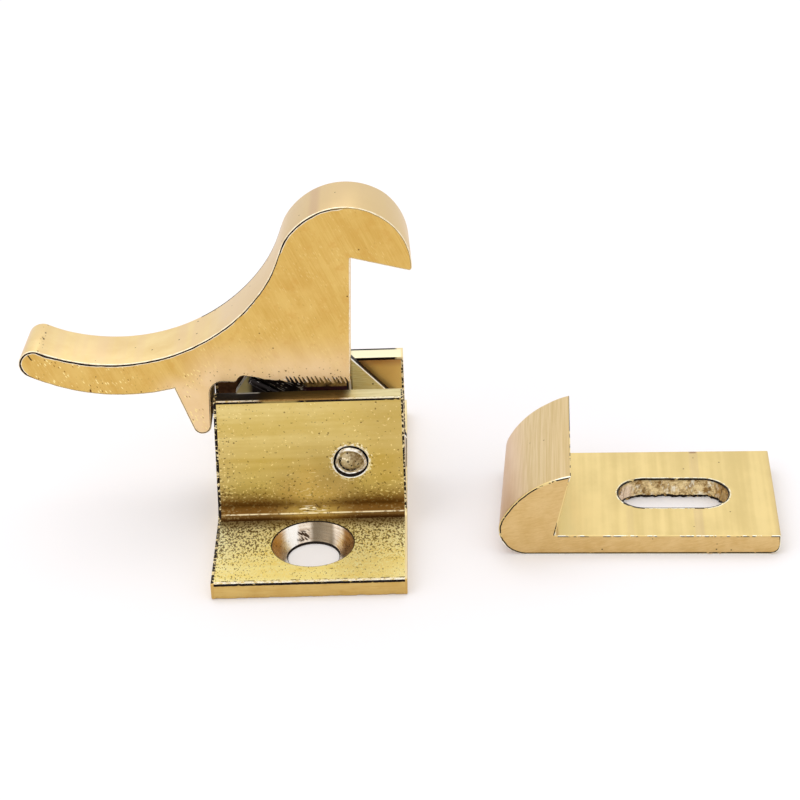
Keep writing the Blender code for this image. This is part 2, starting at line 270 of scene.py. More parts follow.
def within(loop, spots):
    """Even-odd rule: how many of the loop's edges a ray along +x from each spot crosses."""
    a, b = loop, np.roll(loop, -1, axis=0)
    x, y = spots[:, 0, None], spots[:, 1, None]
    spans = (a[:, 1] > y) != (b[:, 1] > y)
    rise = np.where(a[:, 1] == b[:, 1], 1.0, b[:, 1] - a[:, 1])
    crossing = a[:, 0] + (y - a[:, 1]) * (b[:, 0] - a[:, 0]) / rise
    return (spans & (x < crossing)).sum(1) % 2 == 1


# Meshes

class Shell:
    """Collects the surfaces of one piece in millimetres, each with its finish and smooth or flat."""

    def __init__(self):
        self.points, self.faces, self.finish, self.flat, self.count = [], [], [], [], 0

    def _add(self, points, faces, finish, flat):
        self.points.append(points)
        self.faces.extend((faces + self.count).tolist())
        self.finish.extend(np.broadcast_to(finish, len(faces)).tolist())
        self.flat.extend([flat] * len(faces))
        self.count += len(points)

    def grid(self, points, finish=0, skip=()):
        """Quads between neighbours of a rows by columns net, joined up round its columns.

        The finish is one for the net, or an array that spreads over its quads. Each skip
        leaves a gap in one column, from its first row up to its last.
        """
        rows, columns = points.shape[:2]
        index = np.arange(rows * columns).reshape(rows, columns)
        right = np.roll(index, -1, axis=1)
        quads = np.stack([index[:-1], right[:-1], right[1:], index[1:]], -1)
        finishes = np.broadcast_to(finish, quads.shape[:2])
        keep = np.ones(quads.shape[:2], bool)
        for first_row, last_row, column in skip:
            keep[first_row:last_row, column] = False
        self._add(points.reshape(-1, 3), quads[keep], finishes[keep], False)

    def sheet(self, loops, to_space, finish=0):
        """Flat face inside the first loop and outside the others, by Delaunay triangles."""
        edges, start = [], 0
        for loop in loops:
            index = np.arange(len(loop)) + start
            edges += np.stack([index, np.roll(index, -1)], 1).tolist()
            start += len(loop)
        result = delaunay_2d_cdt([Vector(p) for p in np.concatenate(loops)], edges, [], 1, 1e-5)
        points, triangles = np.array([tuple(p) for p in result[0]]), np.array(result[2])
        middle = points[triangles].mean(1)
        inside = np.zeros(len(middle), bool)
        for loop in loops:
            inside ^= within(loop, middle)
        self._add(to_space(points), triangles[inside], finish, True)


def make_piece(name, shell, materials, body, replaces, crease=38.0):
    """Mesh object from a shell: metres, doubles merged, faces outwards, creases sharp.

    Without a body it is left unattached.
    """
    mesh = bpy.data.meshes.new(name)
    mesh.from_pydata(np.concatenate(shell.points) * MM, [], shell.faces)
    for material in materials:
        mesh.materials.append(material)
    mesh.polygons.foreach_set("material_index", shell.finish)
    mesh.polygons.foreach_set("use_smooth", [not flat for flat in shell.flat])
    work = bmesh.new()
    work.from_mesh(mesh)
    bmesh.ops.remove_doubles(work, verts=work.verts, dist=2e-6)
    bmesh.ops.recalc_face_normals(work, faces=work.faces)
    work.to_mesh(mesh)
    work.free()
    smooth = np.zeros(len(mesh.polygons), bool)
    mesh.polygons.foreach_get("use_smooth", smooth)
    mesh.set_sharp_from_angle(angle=np.radians(crease))
    mesh.polygons.foreach_set("use_smooth", smooth)
    mesh.update()
    piece = bpy.data.objects.new(name, mesh)
    bpy.context.scene.collection.objects.link(piece)
    if body:
        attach(piece, body)
    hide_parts(replaces)
    return piece


# Bracket

SKIN, ENDS, SINK, CHANNEL, FOOT, TOE, DARK, LIP, TOP, WALL_LINE, TOE_LINE = range(11)


def bracket_section():
    """Section in y and z, anticlockwise, with each facet's finish and the columns of its long flats."""
    inner, outer, toe = CHANNEL_WIDTH / 2, WALL_FACE, WALL_FACE + FOOT_DEPTH
    t, top = FOOT_THICKNESS, BRACKET_HEIGHT
    half = [
        (eased_corner((0, 0), (toe, 0), (toe, t), 0.2), [DARK] * 2 + [TOE] * 2, TOE),
        (eased_corner((toe, 0), (toe, t), (outer, t), 0.1, low=0.16, high=0.3), [TOE_LINE] * 4 + [LIP] * 2, FOOT),
        (arc_run((outer + FOOT_FILLET, t + FOOT_FILLET), FOOT_FILLET, -np.pi / 2, np.pi, clockwise=True, spacing=0.12),
         SKIN, SKIN),
        (eased_corner((outer, t), (outer, top), (inner, top), 0.09, low=0.12, high=0.26),
         [WALL_LINE] * 4 + [LIP] * 2, TOP),
        (eased_corner((outer, top), (inner, top), (inner, t), 0.09, high=0.22), [TOP] * 2 + [DARK] * 3, CHANNEL),
        (arc_run((inner - FLOOR_FILLET, t + FLOOR_FILLET), FLOOR_FILLET, 0.0, -np.pi / 2, clockwise=True, spacing=0.1),
         CHANNEL, CHANNEL),
    ]
    runs, finish, flat_at = [], [], []
    for number, (run, facets, flat) in enumerate(half):
        # the back wall's outer edge has a painted highlight, with its dark line of painted shade and grime on top
        facets = [LIP] * 4 + [DARK] * 2 if number == 3 else facets
        runs.append(run)
        finish.append(np.concatenate([np.broadcast_to(facets, len(run) - 1), [flat]]))
    for number in range(5, -1, -1):
        run, facets, _ = half[number]
        flat = FOOT if number == 0 else half[number - 1][2]
        runs.append(run[::-1] * (-1, 1))
        finish.append(np.concatenate([np.broadcast_to(facets, len(run) - 1)[::-1], [flat]]))
    ends = np.cumsum([len(run) for run in runs]) - 1
    flats = {"underside": ends[11], "back foot": ends[1], "front wall": ends[8], "front foot": ends[9]}
    return np.concatenate(runs), np.concatenate(finish), flats


def bracket_net(section):
    """The section carried along x between two rims; the left end leans and the toe's edges wander."""
    half = BRACKET_WIDTH / 2
    edge = 0.068 + 0.03 * ripple(np.linspace(0, 60, len(section)), 3.0)
    stations = np.linspace(-half + LEFT_LINE, half - RIGHT_LINE, 90)
    net = np.concatenate([rim_rings(section, -half, 1, edge)] + [level_ring(section, s) for s in stations]
                         + [rim_rings(section, half, -1, edge)[::-1]])[..., [2, 0, 1]]
    x, y, z = net[..., 0], net[..., 1], net[..., 2]
    # left end: the front wall leans in towards its top, the back wall a little out
    rise = np.clip((z - FOOT_THICKNESS) / (BRACKET_HEIGHT - FOOT_THICKNESS), 0, 1)
    x += np.where(y < 0, LEFT_END_LEAN, -BACK_END_LEAN) * rise * np.clip((half - x) / BRACKET_WIDTH, 0, 1)
    # front toe: bruised upper edge and ragged lower edge, fading before the flats start
    toe = -(WALL_FACE + FOOT_DEPTH)
    upper = np.clip(1 - (y - toe) / 0.25, 0, 1) * (z > FOOT_THICKNESS / 2)
    lower = np.clip(1 - (y - toe) / 0.19, 0, 1) * (z <= FOOT_THICKNESS / 2)
    y += upper * TOE_BRUISE_IN * np.abs(ripple(x * 1.9, 2.0))
    z -= upper * TOE_BRUISE_DOWN * np.abs(ripple(x * 2.6, 5.0))
    z += lower * TOE_RAG_UP * np.clip(ripple(x * 2.2, 7.0), 0, 1)
    y += lower * TOE_RAG_IN * np.abs(ripple(x * 3.1, 1.0))
    return net


def net_window(net, column):
    """Edge of the gap left in a net at one column, as a loop of space points."""
    after = (column + 1) % net.shape[1]
    return np.concatenate([net[:, column], net[::-1, after]])


def end_face(p, ring):
    """End face: each spot takes its x from the ring's nearest point at that height."""
    x = np.zeros(len(p))
    for side in (ring[:, 1] < 0, ring[:, 1] >= 0):
        order = np.argsort(ring[side, 2])
        spots = (p[:, 0] < 0) == (ring[side, 1][0] < 0)
        x[spots] = np.interp(p[spots, 1], ring[side, 2][order], ring[side, 0][order])
    return np.stack([x, p[:, 0], p[:, 1]], 1)


def screw_hole(shell, y):
    """Countersunk hole: a thin dark rim, a 45 degree cone with fine tool rings, and the bore."""
    top, sink, bore = FOOT_THICKNESS, COUNTERSINK / 2, SCREW_HOLE / 2
    t = np.linspace(0, 1, 15)[1:-1]
    cone = np.stack([sink - 0.1 - (sink - 0.1 - bore) * t, top - 0.09 - (sink - 0.1 - bore) * t], 1)
    cone[:, 1] += 0.012 * np.sin(t * TAU * 6)
    profile = np.concatenate([
        [(sink, top), (sink - 0.07, top - 0.02), (sink - 0.1, top - 0.09)], cone,
        [(bore, top - (sink - bore) - 0.02), (bore, 0.05), (bore + 0.05, 0.0)]])
    a = round_angles()
    radius, level = profile[:, :1] + 0 * a, profile[:, 1:] + 0 * a
    net = np.stack([SCREW_HOLE_OFFSET + radius * np.cos(a), y + radius * np.sin(a), level], -1)
    shell.grid(net, finish=np.array([DARK, DARK] + [SINK] * (len(profile) - 6) + [DARK, DARK, SINK])[:, None])


def rivet_gap(shell, edge):
    """Front wall with a ring sunk round the rivet, wider below, with a painted highlight at its rim and painted shade
    inside, so that it shows as a dark line.
    """
    a = round_angles()
    wide = 0.85 + 0.5 * np.clip(np.cos(a - GAP_WIDEST_AT), 0, 1) + 0.08 * np.cos(3 * a)
    out = RIVET_RADIUS + RIVET_GAP * wide
    steps = np.array([[1.0, 0.0], [0.86, 0.03], [0.5, 0.2], [0.0, GAP_DEPTH]])
    radius = RIVET_RADIUS - 0.25 + steps[:, :1] * (out - RIVET_RADIUS + 0.25)
    net = np.stack([PIN_AT[0] + radius * np.cos(a), -WALL_FACE + steps[:, 1:] + 0 * a,
                    PIN_AT[2] + radius * np.sin(a)], -1)
    shell.sheet([edge[:, [0, 2]], net[0][:, [0, 2]]], lambda p: np.insert(p, 1, -WALL_FACE, axis=1), finish=SKIN)
    shell.grid(net, finish=np.array([LIP, DARK, DARK])[:, None])
    shell.sheet([net[-1][:, [0, 2]]], lambda p: np.insert(p, 1, -WALL_FACE + GAP_DEPTH, axis=1), finish=DARK)


def make_bracket(materials):
    """The net of the section, its two ends, the feet round their holes and the front wall round the rivet."""
    section, facets, flats = bracket_section()
    net = bracket_net(section)
    shell = Shell()
    rows = len(net) - 1
    finish = np.repeat(facets[None], rows, 0)
    # the rims at both ends, dark with painted shade and grime
    finish[:4], finish[-4:] = DARK, DARK
    shell.grid(net, finish, skip=[(4, rows - 4, column) for column in flats.values()])
    for ring in (net[0], net[-1]):
        shell.sheet([ring[:, 1:]], lambda p, ring=ring: end_face(p, ring), finish=ENDS)
    inner = net[4:-4]
    hole_y = WALL_FACE + SCREW_HOLE_FROM_WALL
    for name, y in (("front foot", -hole_y), ("back foot", hole_y)):
        hole = circle_loop((SCREW_HOLE_OFFSET, y), COUNTERSINK / 2)
        shell.sheet([net_window(inner, flats[name])[:, :2], hole],
                    lambda p: np.insert(p, 2, FOOT_THICKNESS, axis=1), finish=FOOT)
        screw_hole(shell, y)
    bores = [circle_loop((SCREW_HOLE_OFFSET, y), SCREW_HOLE / 2 + 0.05) for y in (-hole_y, hole_y)]
    shell.sheet([net_window(inner, flats["underside"])[:, :2]] + bores,
                lambda p: np.insert(p, 2, 0.0, axis=1), finish=FOOT)
    rivet_gap(shell, net_window(inner, flats["front wall"]))
    return make_piece("bracket_body", shell, materials, "bracket", "bracket")


# Pin

def make_pin(materials):
    """Shank and two hammered heads turned about y: radius and height come from one profile.

    Each head is a bright rim, a groove that is deepest at one side, and an off-centre crown;
    the rim is squashed by small cosine waves round the head.
    """
    half = WALL_FACE
    a = round_angles()
    head = np.array([(0.0, 0.30), (0.3, 0.31), (0.6, 0.29), (0.85, 0.22), (1.0, 0.15), (1.1, 0.12),
                     (1.2, 0.16), (1.32, 0.24), (1.42, 0.25), (1.5, 0.17), (RIVET_RADIUS, 0.0), (1.5, -0.14)])
    groove = np.array([0, 0, 0, 0.3, 0.8, 1.0, 0.9, 0.4, 0, 0, 0, 0])
    deepest = np.cos(a - GROOVE_DEEPEST_AT)
    profile = np.concatenate([head, head[::-1]])
    share = (profile[:, 0] / RIVET_RADIUS)[:, None]
    radius = profile[:, :1] * (1 + 0.03 * share * np.cos(3 * a + 0.6) + 0.02 * share * np.cos(5 * a + 2.1)
                               - 0.1 * share * np.clip(np.cos(a - HEAD_SQUASHED_AT), 0, 1) ** 3)
    groove = np.concatenate([groove, groove[::-1]])[:, None]
    height = profile[:, 1:] - 0.13 * groove * np.clip(deepest + 0.3, -0.5, 1)
    height += 0.02 * np.sin(radius * np.cos(a) * 7 + 1.0) * np.sin(radius * np.sin(a) * 6) * (profile[:, 1:] > 0.1)
    side = np.concatenate([-np.ones(len(head)), np.ones(len(head))])[:, None]
    net = np.stack([PIN_AT[0] + radius * np.cos(a), side * (half + height), PIN_AT[2] + radius * np.sin(a)], -1)
    rows = len(net) - 1
    finish = np.zeros((rows, len(a)), int)
    # painted highlight on the crests of both heads' rims, then painted shade along a stretch of the front groove
    finish[[7, 8, 9, rows - 8, rows - 9, rows - 10]] = 1
    finish[4:6, np.cos(a - GROOVE_DARKEST_AT) > 0.25] = 2
    shell = Shell()
    shell.grid(net, finish)
    return make_piece("rivet_pin", shell, materials, "bracket", "pivot_pin")


# Lever

def lever_runs():
    """The outline both plies share, anticlockwise from the milled edge up and round.

    Beside each run stands the width of its dark line, or the widths it grows between.
    """
    dome_back = circles_meet(TIP_AT, ARM_TOP_RADIUS + TIP_RADIUS, DOME_AT, ARM_TOP_RADIUS + DOME_RADIUS)
    under = circles_meet(TIP_AT, ARM_UNDER_RADIUS - TIP_RADIUS, PRONG_ROOT, ARM_UNDER_RADIUS)
    recess = np.array([FACE_X, RECESS_HEIGHT])
    slope = np.array([np.cos(LATCH_SLOPE), -np.sin(LATCH_SLOPE)])
    away = DOME_AT - recess
    along = away @ slope
    beak = recess + (along + np.sqrt(DOME_RADIUS ** 2 - (away @ away - along ** 2))) * slope
    dome = arc_run(DOME_AT, DOME_RADIUS, bearing(DOME_AT, beak) + 0.07, bearing(DOME_AT, dome_back))
    runs = [
        (straight_run((FACE_X, POCKET_HEIGHT), recess - (0, 0.2)), 0.012),
        (eased_corner(recess - (0, 1), recess, beak, 0.15), 0.03),
        (eased_corner(recess, beak, dome[0], 0.42), 0.03),
        (dome[:len(dome) * 5 // 9], 0.07),
        (dome[len(dome) * 5 // 9:], 0.15),
        (arc_run(dome_back, ARM_TOP_RADIUS, bearing(dome_back, DOME_AT), bearing(dome_back, TIP_AT),
                 clockwise=True), ARM_LINE),
        (arc_run(TIP_AT, TIP_RADIUS, bearing(TIP_AT, dome_back), bearing(under, TIP_AT), spacing=0.15), 0.17),
        (arc_run(under, ARM_UNDER_RADIUS, bearing(under, TIP_AT), bearing(under, PRONG_ROOT)), 0.04),
        (arc_run(PRONG_TIP, PRONG_TIP_RADIUS, touch_angle(PRONG_ROOT, PRONG_TIP, PRONG_TIP_RADIUS), 0.0,
                 spacing=0.12), 0.08),
        (arc_run((PRONG_FACE_X + PRONG_FILLET, NOTCH_HEIGHT - PRONG_FILLET), PRONG_FILLET, np.pi, np.pi / 2,
                 clockwise=True, spacing=0.15), 0.05),
        (straight_run((PRONG_FACE_X + PRONG_FILLET, NOTCH_HEIGHT), (NOTCH_END_X, NOTCH_HEIGHT)), 0.03),
    ]
    widths = [np.linspace(*width, len(run)) if width is ARM_LINE else width for run, width in runs]
    points, width = joined([run for run, _ in runs], widths)
    # the throat is fuller than two arcs would leave it: x moves left by fill exp(-(distance / reach)^2)
    away = np.linalg.norm(points - on_circle(DOME_AT, DOME_RADIUS, bearing(DOME_AT, dome_back)), axis=1)
    points[:, 0] -= THROAT_FILL * np.exp(-(away / THROAT_REACH) ** 2)
    return points, width


def milled_line():
    """Lower edge of the front ply: an uneven step, then a comb of slanted burrs that the cutter left.

    Each burr i has a gap whose apex stands at height h_i and whose mouth is shifted right by 0.5 h_i.
    """
    step = np.array([(-11.3, 7.85), (-11.15, 8.12), (-10.95, 8.32), (-10.6, 8.4), (-10.2, 8.36), (-9.68, 8.3),
                     (-9.3, 8.2), (-8.9, 8.12), (-8.54, 8.0), (-8.0, 7.96), (-7.5, 7.9), (-7.0, 7.93)])
    step[3:, 1] += 0.03 * ripple(step[3:, 0] * 5, 3.0)
    number = np.arange(15)
    x = -6.45 + 0.415 * number + 0.05 * ripple(number * 2.3, 1.0)
    height = 0.68 + 0.12 * ripple(number * 3.1, 4.0)
    mouth = 0.145 + 0.02 * ripple(number * 4.7, 2.0)
    tips = BURR_TIPS + 0.05 * ripple(number * 5.3, 6.0)
    gap = np.stack([
        np.stack([x + 0.5 * height - mouth, tips], 1), np.stack([x - 0.03, tips + height], 1),
        np.stack([x + 0.03, tips + height], 1), np.stack([x + 0.5 * height + mouth, tips - 0.01], 1)], 1)
    return np.concatenate([step, gap.reshape(-1, 2)])


def web_line():
    """Outline of the thin web: tail, hub round the pin, heel with its step, and the 45 degree shoulder.

    The step is a quarter ellipse: x = waist + step sin a, z = top - rise (1 - cos a).
    """
    corner = np.array([HEEL_REACH - HEEL_CORNER, HEEL_CORNER - HEEL_DEPTH])
    a = np.linspace(np.pi / 2, 0.0, 6)
    waist = HEEL_REACH - HEEL_STEP
    step = np.stack([waist + HEEL_STEP * np.sin(a), HEEL_STEP_TOP - HEEL_STEP_RISE * (1 - np.cos(a))], 1)
    return joined([
        straight_run((NOTCH_END_X + 0.5, NOTCH_HEIGHT + 0.05), WEB_ROOT),
        eased_corner(WEB_ROOT, WEB_TAIL, (0, -HEEL_DEPTH), 0.4),
        arc_run((0, 0), HEEL_DEPTH, touch_angle(WEB_TAIL, (0, 0), HEEL_DEPTH), 3 * np.pi / 2),
        arc_run(corner, HEEL_CORNER, -np.pi / 2, 0.0, spacing=0.15),
        step,
        straight_run((waist, SHOULDER_HEIGHT - (waist - FACE_X)), (FACE_X, SHOULDER_HEIGHT)),
    ], [0] * 6)[0]


def lever_place(points):
    """Turned by the rest lean about the pin and set on it: x' = x cos + z sin, z' = z cos - x sin."""
    x, z, y = points[..., 0], points[..., 1], points[..., 2]
    c, s = np.cos(REST_LEAN), np.sin(REST_LEAN)
    return np.stack([PIN_AT[0] + x * c + z * s, y, PIN_AT[2] + z * c - x * s], -1)


LEVER_SKIN, LEVER_FACE, LEVER_WEB, LEVER_LINE, LEVER_BRIGHT, LEVER_GLINT, WEB_LINE = range(7)


def lever_taper(net):
    """Both ends draw in with depth: x moves by up to the taper, left on the hook past x = 3, right at the tip."""
    depth = np.clip((net[..., 2] + LEVER_HALF) / (2 * LEVER_HALF), 0, 1)
    nose = np.clip((net[..., 0] - 3.0) / 3.0, 0, 1) * (net[..., 1] > SHOULDER_HEIGHT + 2)
    tip = np.clip((-28.5 - net[..., 0]) / 3.0, 0, 1)
    net[..., 0] += LEVER_TAPER * depth * (tip - nose)
    return net


def make_lever(materials):
    """Front ply over the web: outlines carried along y, with eased rims, dark lines and the web's own face."""
    shared, widths = lever_runs()
    mill, web = milled_line(), web_line()
    front, back = np.concatenate([shared, mill]), np.concatenate([shared, web])
    walk = walk_along(front)
    smooth = np.convolve(np.pad(widths, 2, mode="edge"), np.ones(5) / 5, mode="valid")
    line = np.full(len(front), 0.01)
    line[:len(shared)] = smooth * (1 + 0.16 * ripple(walk[:len(shared)] * 1.7, 5.0))
    edge = 0.085 + 0.02 * ripple(walk * 0.9, 2.0)
    edge[len(shared):] = 0.012
    edge[0] = edge[len(shared) - 1] = 0.03
    shell = Shell()
    thread = line + np.where(line > 0.12, 0.07, 0.004)
    near = np.concatenate([rim_rings(front, -LEVER_HALF, 1, edge, thread)[:1],
                           rim_rings(front, -LEVER_HALF, 1, edge, line), level_ring(front, WEB_FRONT)])
    far = np.concatenate([level_ring(back, WEB_FRONT), level_ring(back, WEB_FRONT + WEB_GLINT_DEPTH),
                          level_ring(back, LEVER_HALF - BACK_LINE_DEPTH), rim_rings(back, LEVER_HALF, -1, 0.1)[::-1]])
    near, far = lever_taper(near), lever_taper(far)
    near_finish = np.zeros((len(near) - 1, len(front)), int)
    # painted highlights on the thread and the eased rim, with the dark edge line of painted shade and grime between
    # them
    near_finish[0, :len(shared)] = LEVER_BRIGHT
    near_finish[1, :len(shared)] = LEVER_LINE
    near_finish[2:5] = LEVER_BRIGHT
    near_finish[:, len(shared):] = LEVER_WEB
    far_finish = np.zeros((len(far) - 1, len(back)), int)
    # painted highlight on the web's front edge, then a painted shade line behind it
    far_finish[0, len(shared):], far_finish[1:, len(shared):] = LEVER_GLINT, WEB_LINE
    throat = (widths > 0.085) & (widths < 0.145) & (shared[:, 0] > -20)
    far_finish[2:, :len(shared)][:, throat] = LEVER_LINE
    shell.grid(lever_place(near), near_finish)
    shell.grid(lever_place(far), far_finish)
    bore = circle_loop((0, 0), PIN_RADIUS + 0.08)

    def at_depth(depth):
        return lambda p: lever_place(np.insert(p, 2, depth, axis=1))

    shell.sheet([near[0, :, :2]], at_depth(-LEVER_HALF), finish=LEVER_FACE)
    pocket = np.concatenate([shared[-1:], web, shared[:1], mill[::-1]])
    shell.sheet([pocket, bore], at_depth(WEB_FRONT), finish=LEVER_WEB)
    shell.sheet([far[-1, :, :2], bore], at_depth(LEVER_HALF), finish=LEVER_FACE)
    shell.grid(lever_place(np.concatenate([level_ring(bore, WEB_FRONT), level_ring(bore, LEVER_HALF)])), LEVER_WEB)
    return make_piece("lever_body", shell, materials, "lever", "lever")


# Spring

def wire_path():
    """Upper leg, then (R cos a, R sin a) with a falling evenly and y moving back, then the lower leg."""
    start = np.pi / 2 - UPPER_LEG_RISE
    finish = -np.pi / 2 + LOWER_LEG_DROP
    sweep = start - finish + FULL_TURNS * TAU
    run, rise = np.cos(start + np.pi / 2), np.sin(start + np.pi / 2)
    floor = PIN_AT[2] - FOOT_THICKNESS - WIRE_RADIUS - LEG_CLEARANCE
    lower = (floor + COIL_RADIUS * np.sin(finish)) / np.sin(LOWER_LEG_DROP)
    a = start - np.linspace(0, sweep, 260)
    coil = np.stack([COIL_RADIUS * np.cos(a), np.linspace(COIL_FRONT, COIL_BACK, 260), COIL_RADIUS * np.sin(a)], 1)
    t = np.linspace(1, 0, 30)[:-1, None]
    first = coil[0] + t * UPPER_LEG_LENGTH * np.array([run, 0.0, rise])
    c, s = np.cos(REST_LEAN), np.sin(REST_LEAN)
    leaned = np.stack([first[:, 0] * c + first[:, 2] * s, first[:, 1], first[:, 2] * c - first[:, 0] * s], 1)
    first = leaned * t + first * (1 - t)
    t = np.linspace(0, 1, 30)[1:, None]
    last = coil[-1] + t * lower * np.array([-np.cos(LOWER_LEG_DROP), 0.0, -np.sin(LOWER_LEG_DROP)])
    return np.concatenate([first, coil, last])


def make_spring(material):
    """Round wire: ring of radius r in the plane across the path, ends rounded over by shrinking rings."""
    path = wire_path()
    ahead = np.gradient(path, axis=0)
    ahead /= np.linalg.norm(ahead, axis=1)[:, None]
    aside = np.cross(ahead, [0.0, 1.0, 0.0])
    aside /= np.linalg.norm(aside, axis=1)[:, None]
    over = np.cross(aside, ahead)
    angle = np.linspace(0.05, np.pi / 2, 5)[:-1]
    radius = np.concatenate([WIRE_RADIUS * np.sin(angle), np.full(len(path), WIRE_RADIUS),
                             WIRE_RADIUS * np.sin(angle[::-1])])
    path = np.concatenate([path[:1] - 0.12 * np.cos(angle)[:, None] * ahead[:1], path,
                           path[-1:] + 0.12 * np.cos(angle[::-1])[:, None] * ahead[-1:]])
    aside, over = (np.concatenate([np.repeat(v[:1], 4, 0), v, np.repeat(v[-1:], 4, 0)]) for v in (aside, over))
    a = round_angles(20)[None, :, None]
    net = path[:, None] + radius[:, None, None] * (np.cos(a) * aside[:, None] + np.sin(a) * over[:, None]) + PIN_AT
    shell = Shell()
    shell.grid(net)
    for ring in (net[0], net[-1]):
        shell.grid(np.stack([ring, np.repeat(ring.mean(0)[None], len(ring), 0)]))
    spring = make_piece("spring_wire", shell, [material], None, "torsion_spring", crease=60.0)
    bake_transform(spring)
    return spring


# Strike

STRIKE_SKIN, STRIKE_END, STRIKE_SLOT, STRIKE_LINE, STRIKE_BRIGHT, STRIKE_GLINT = range(6)


def strike_side():
    """Side outline, anticlockwise, each facet's finish, the dark line's width and the flats' columns."""
    heel = np.array([STRIKE_HEEL_X + LIP_HEEL_RADIUS, LIP_HEEL_RADIUS])
    back = circles_meet(LIP_TIP, LIP_BACK_RADIUS, heel, LIP_BACK_RADIUS - LIP_HEEL_RADIUS)
    t, end = STRIKE_THICKNESS, STRIKE_PLATE_END
    root = np.array([LIP_ROOT_X, t])
    curve = arc_run(back, LIP_BACK_RADIUS, bearing(back, LIP_TIP) + 0.02, bearing(back, heel), spacing=0.2)
    runs = [
        (arc_run(heel, LIP_HEEL_RADIUS, bearing(back, heel), -np.pi / 2, spacing=0.2), 0.14),
        (eased_corner((0, 0), (end, 0), (end, t), STRIKE_CORNER, count=9), 0.12),
        (eased_corner((end, 0), (end, t), (0, t), 0.15), 0.1),
        (eased_corner((end, t), root, LIP_TIP, 0.12), 0.1),
        (eased_corner(root, LIP_TIP, curve[1], 0.09, low=0.1), 0.03),
        (curve[1:-1], 0.14),
    ]
    lengths = np.cumsum([len(run) for run, _ in runs])
    outline = np.concatenate([run for run, _ in runs])
    finish = np.full(len(outline), STRIKE_SKIN)
    finish[lengths[3]:lengths[3] + 5] = STRIKE_LINE
    width = np.concatenate([np.full(len(run), w) for run, w in runs])
    width[lengths[0]:lengths[1]] = np.linspace(0.2, 0.02, lengths[1] - lengths[0])
    return outline, finish, width, {"underside": lengths[0] - 1, "plate": lengths[2] - 1}


def slot_loop():
    """Stadium: two half circles joined by straights."""
    radius = SLOT_WIDTH / 2
    reach = SLOT_LENGTH / 2 - radius
    right = arc_run((reach, 0), radius, -np.pi / 2, np.pi / 2, spacing=0.14)
    left = arc_run((-reach, 0), radius, np.pi / 2, 3 * np.pi / 2, spacing=0.14)
    return np.concatenate([right, straight_run(right[-1], left[0], 0.14)[1:-1],
                           left, straight_run(left[-1], right[0], 0.14)[1:-1]])


def strike_place(points):
    """Turned about z by the strike's turn and set down at its place."""
    c, s = np.cos(STRIKE_TURN), np.sin(STRIKE_TURN)
    x, z, y = points[..., 0], points[..., 1], points[..., 2]
    return np.stack([STRIKE_AT[0] + x * c - y * s, STRIKE_AT[1] + x * s + y * c, STRIKE_AT[2] + z], -1)


def slot_wall(shell):
    """Slot's wall between its eased rims, pushed in and out by an uneven wave that fades at the rims."""
    depth = np.linspace(STRIKE_THICKNESS - 0.16, 0.14, 12)
    profile = np.concatenate([
        [(0.26, STRIKE_THICKNESS), (0.13, STRIKE_THICKNESS - 0.006), (0.0, STRIKE_THICKNESS - 0.02),
         (0.0, STRIKE_THICKNESS - 0.08)], np.stack([0 * depth, depth], 1), [(0.02, 0.04), (0.07, 0.0)]])
    base = slot_loop()
    walk = np.linspace(0, TAU, len(base), endpoint=False)
    level = profile[:, 1, None]
    rough = 0.13 * ripple(walk * 7 + 1.2 * np.sin(level * 1.5), 6.0) + 0.07 * ripple(walk * 29 + level * 2, 2.0)
    fade = np.clip((STRIKE_THICKNESS - level) / 0.5, 0, 1)
    grow = profile[:, :1] + rough * fade + 0.02 * ripple(walk * 13, 9.0) * (profile[:, :1] > 0.04)
    flat = base[None] - grow[..., None] * inward(base)[None]
    net = np.stack([flat[..., 0], level + 0 * grow, flat[..., 1]], -1)
    finish = np.full((len(profile) - 1, len(base)), STRIKE_SLOT)
    finish[:4], finish[-3:] = STRIKE_LINE, STRIKE_LINE
    # the near rim gets a painted highlight but for two short stretches that stay dark
    x = base[:, 0]
    dark = (base[:, 1] < -1.0) & (((x > -4.9) & (x < -3.0)) | ((x > 1.9) & (x < 2.9)))
    finish[0, ~dark] = STRIKE_BRIGHT
    shell.grid(strike_place(net), finish)
    return flat[0], flat[-1]


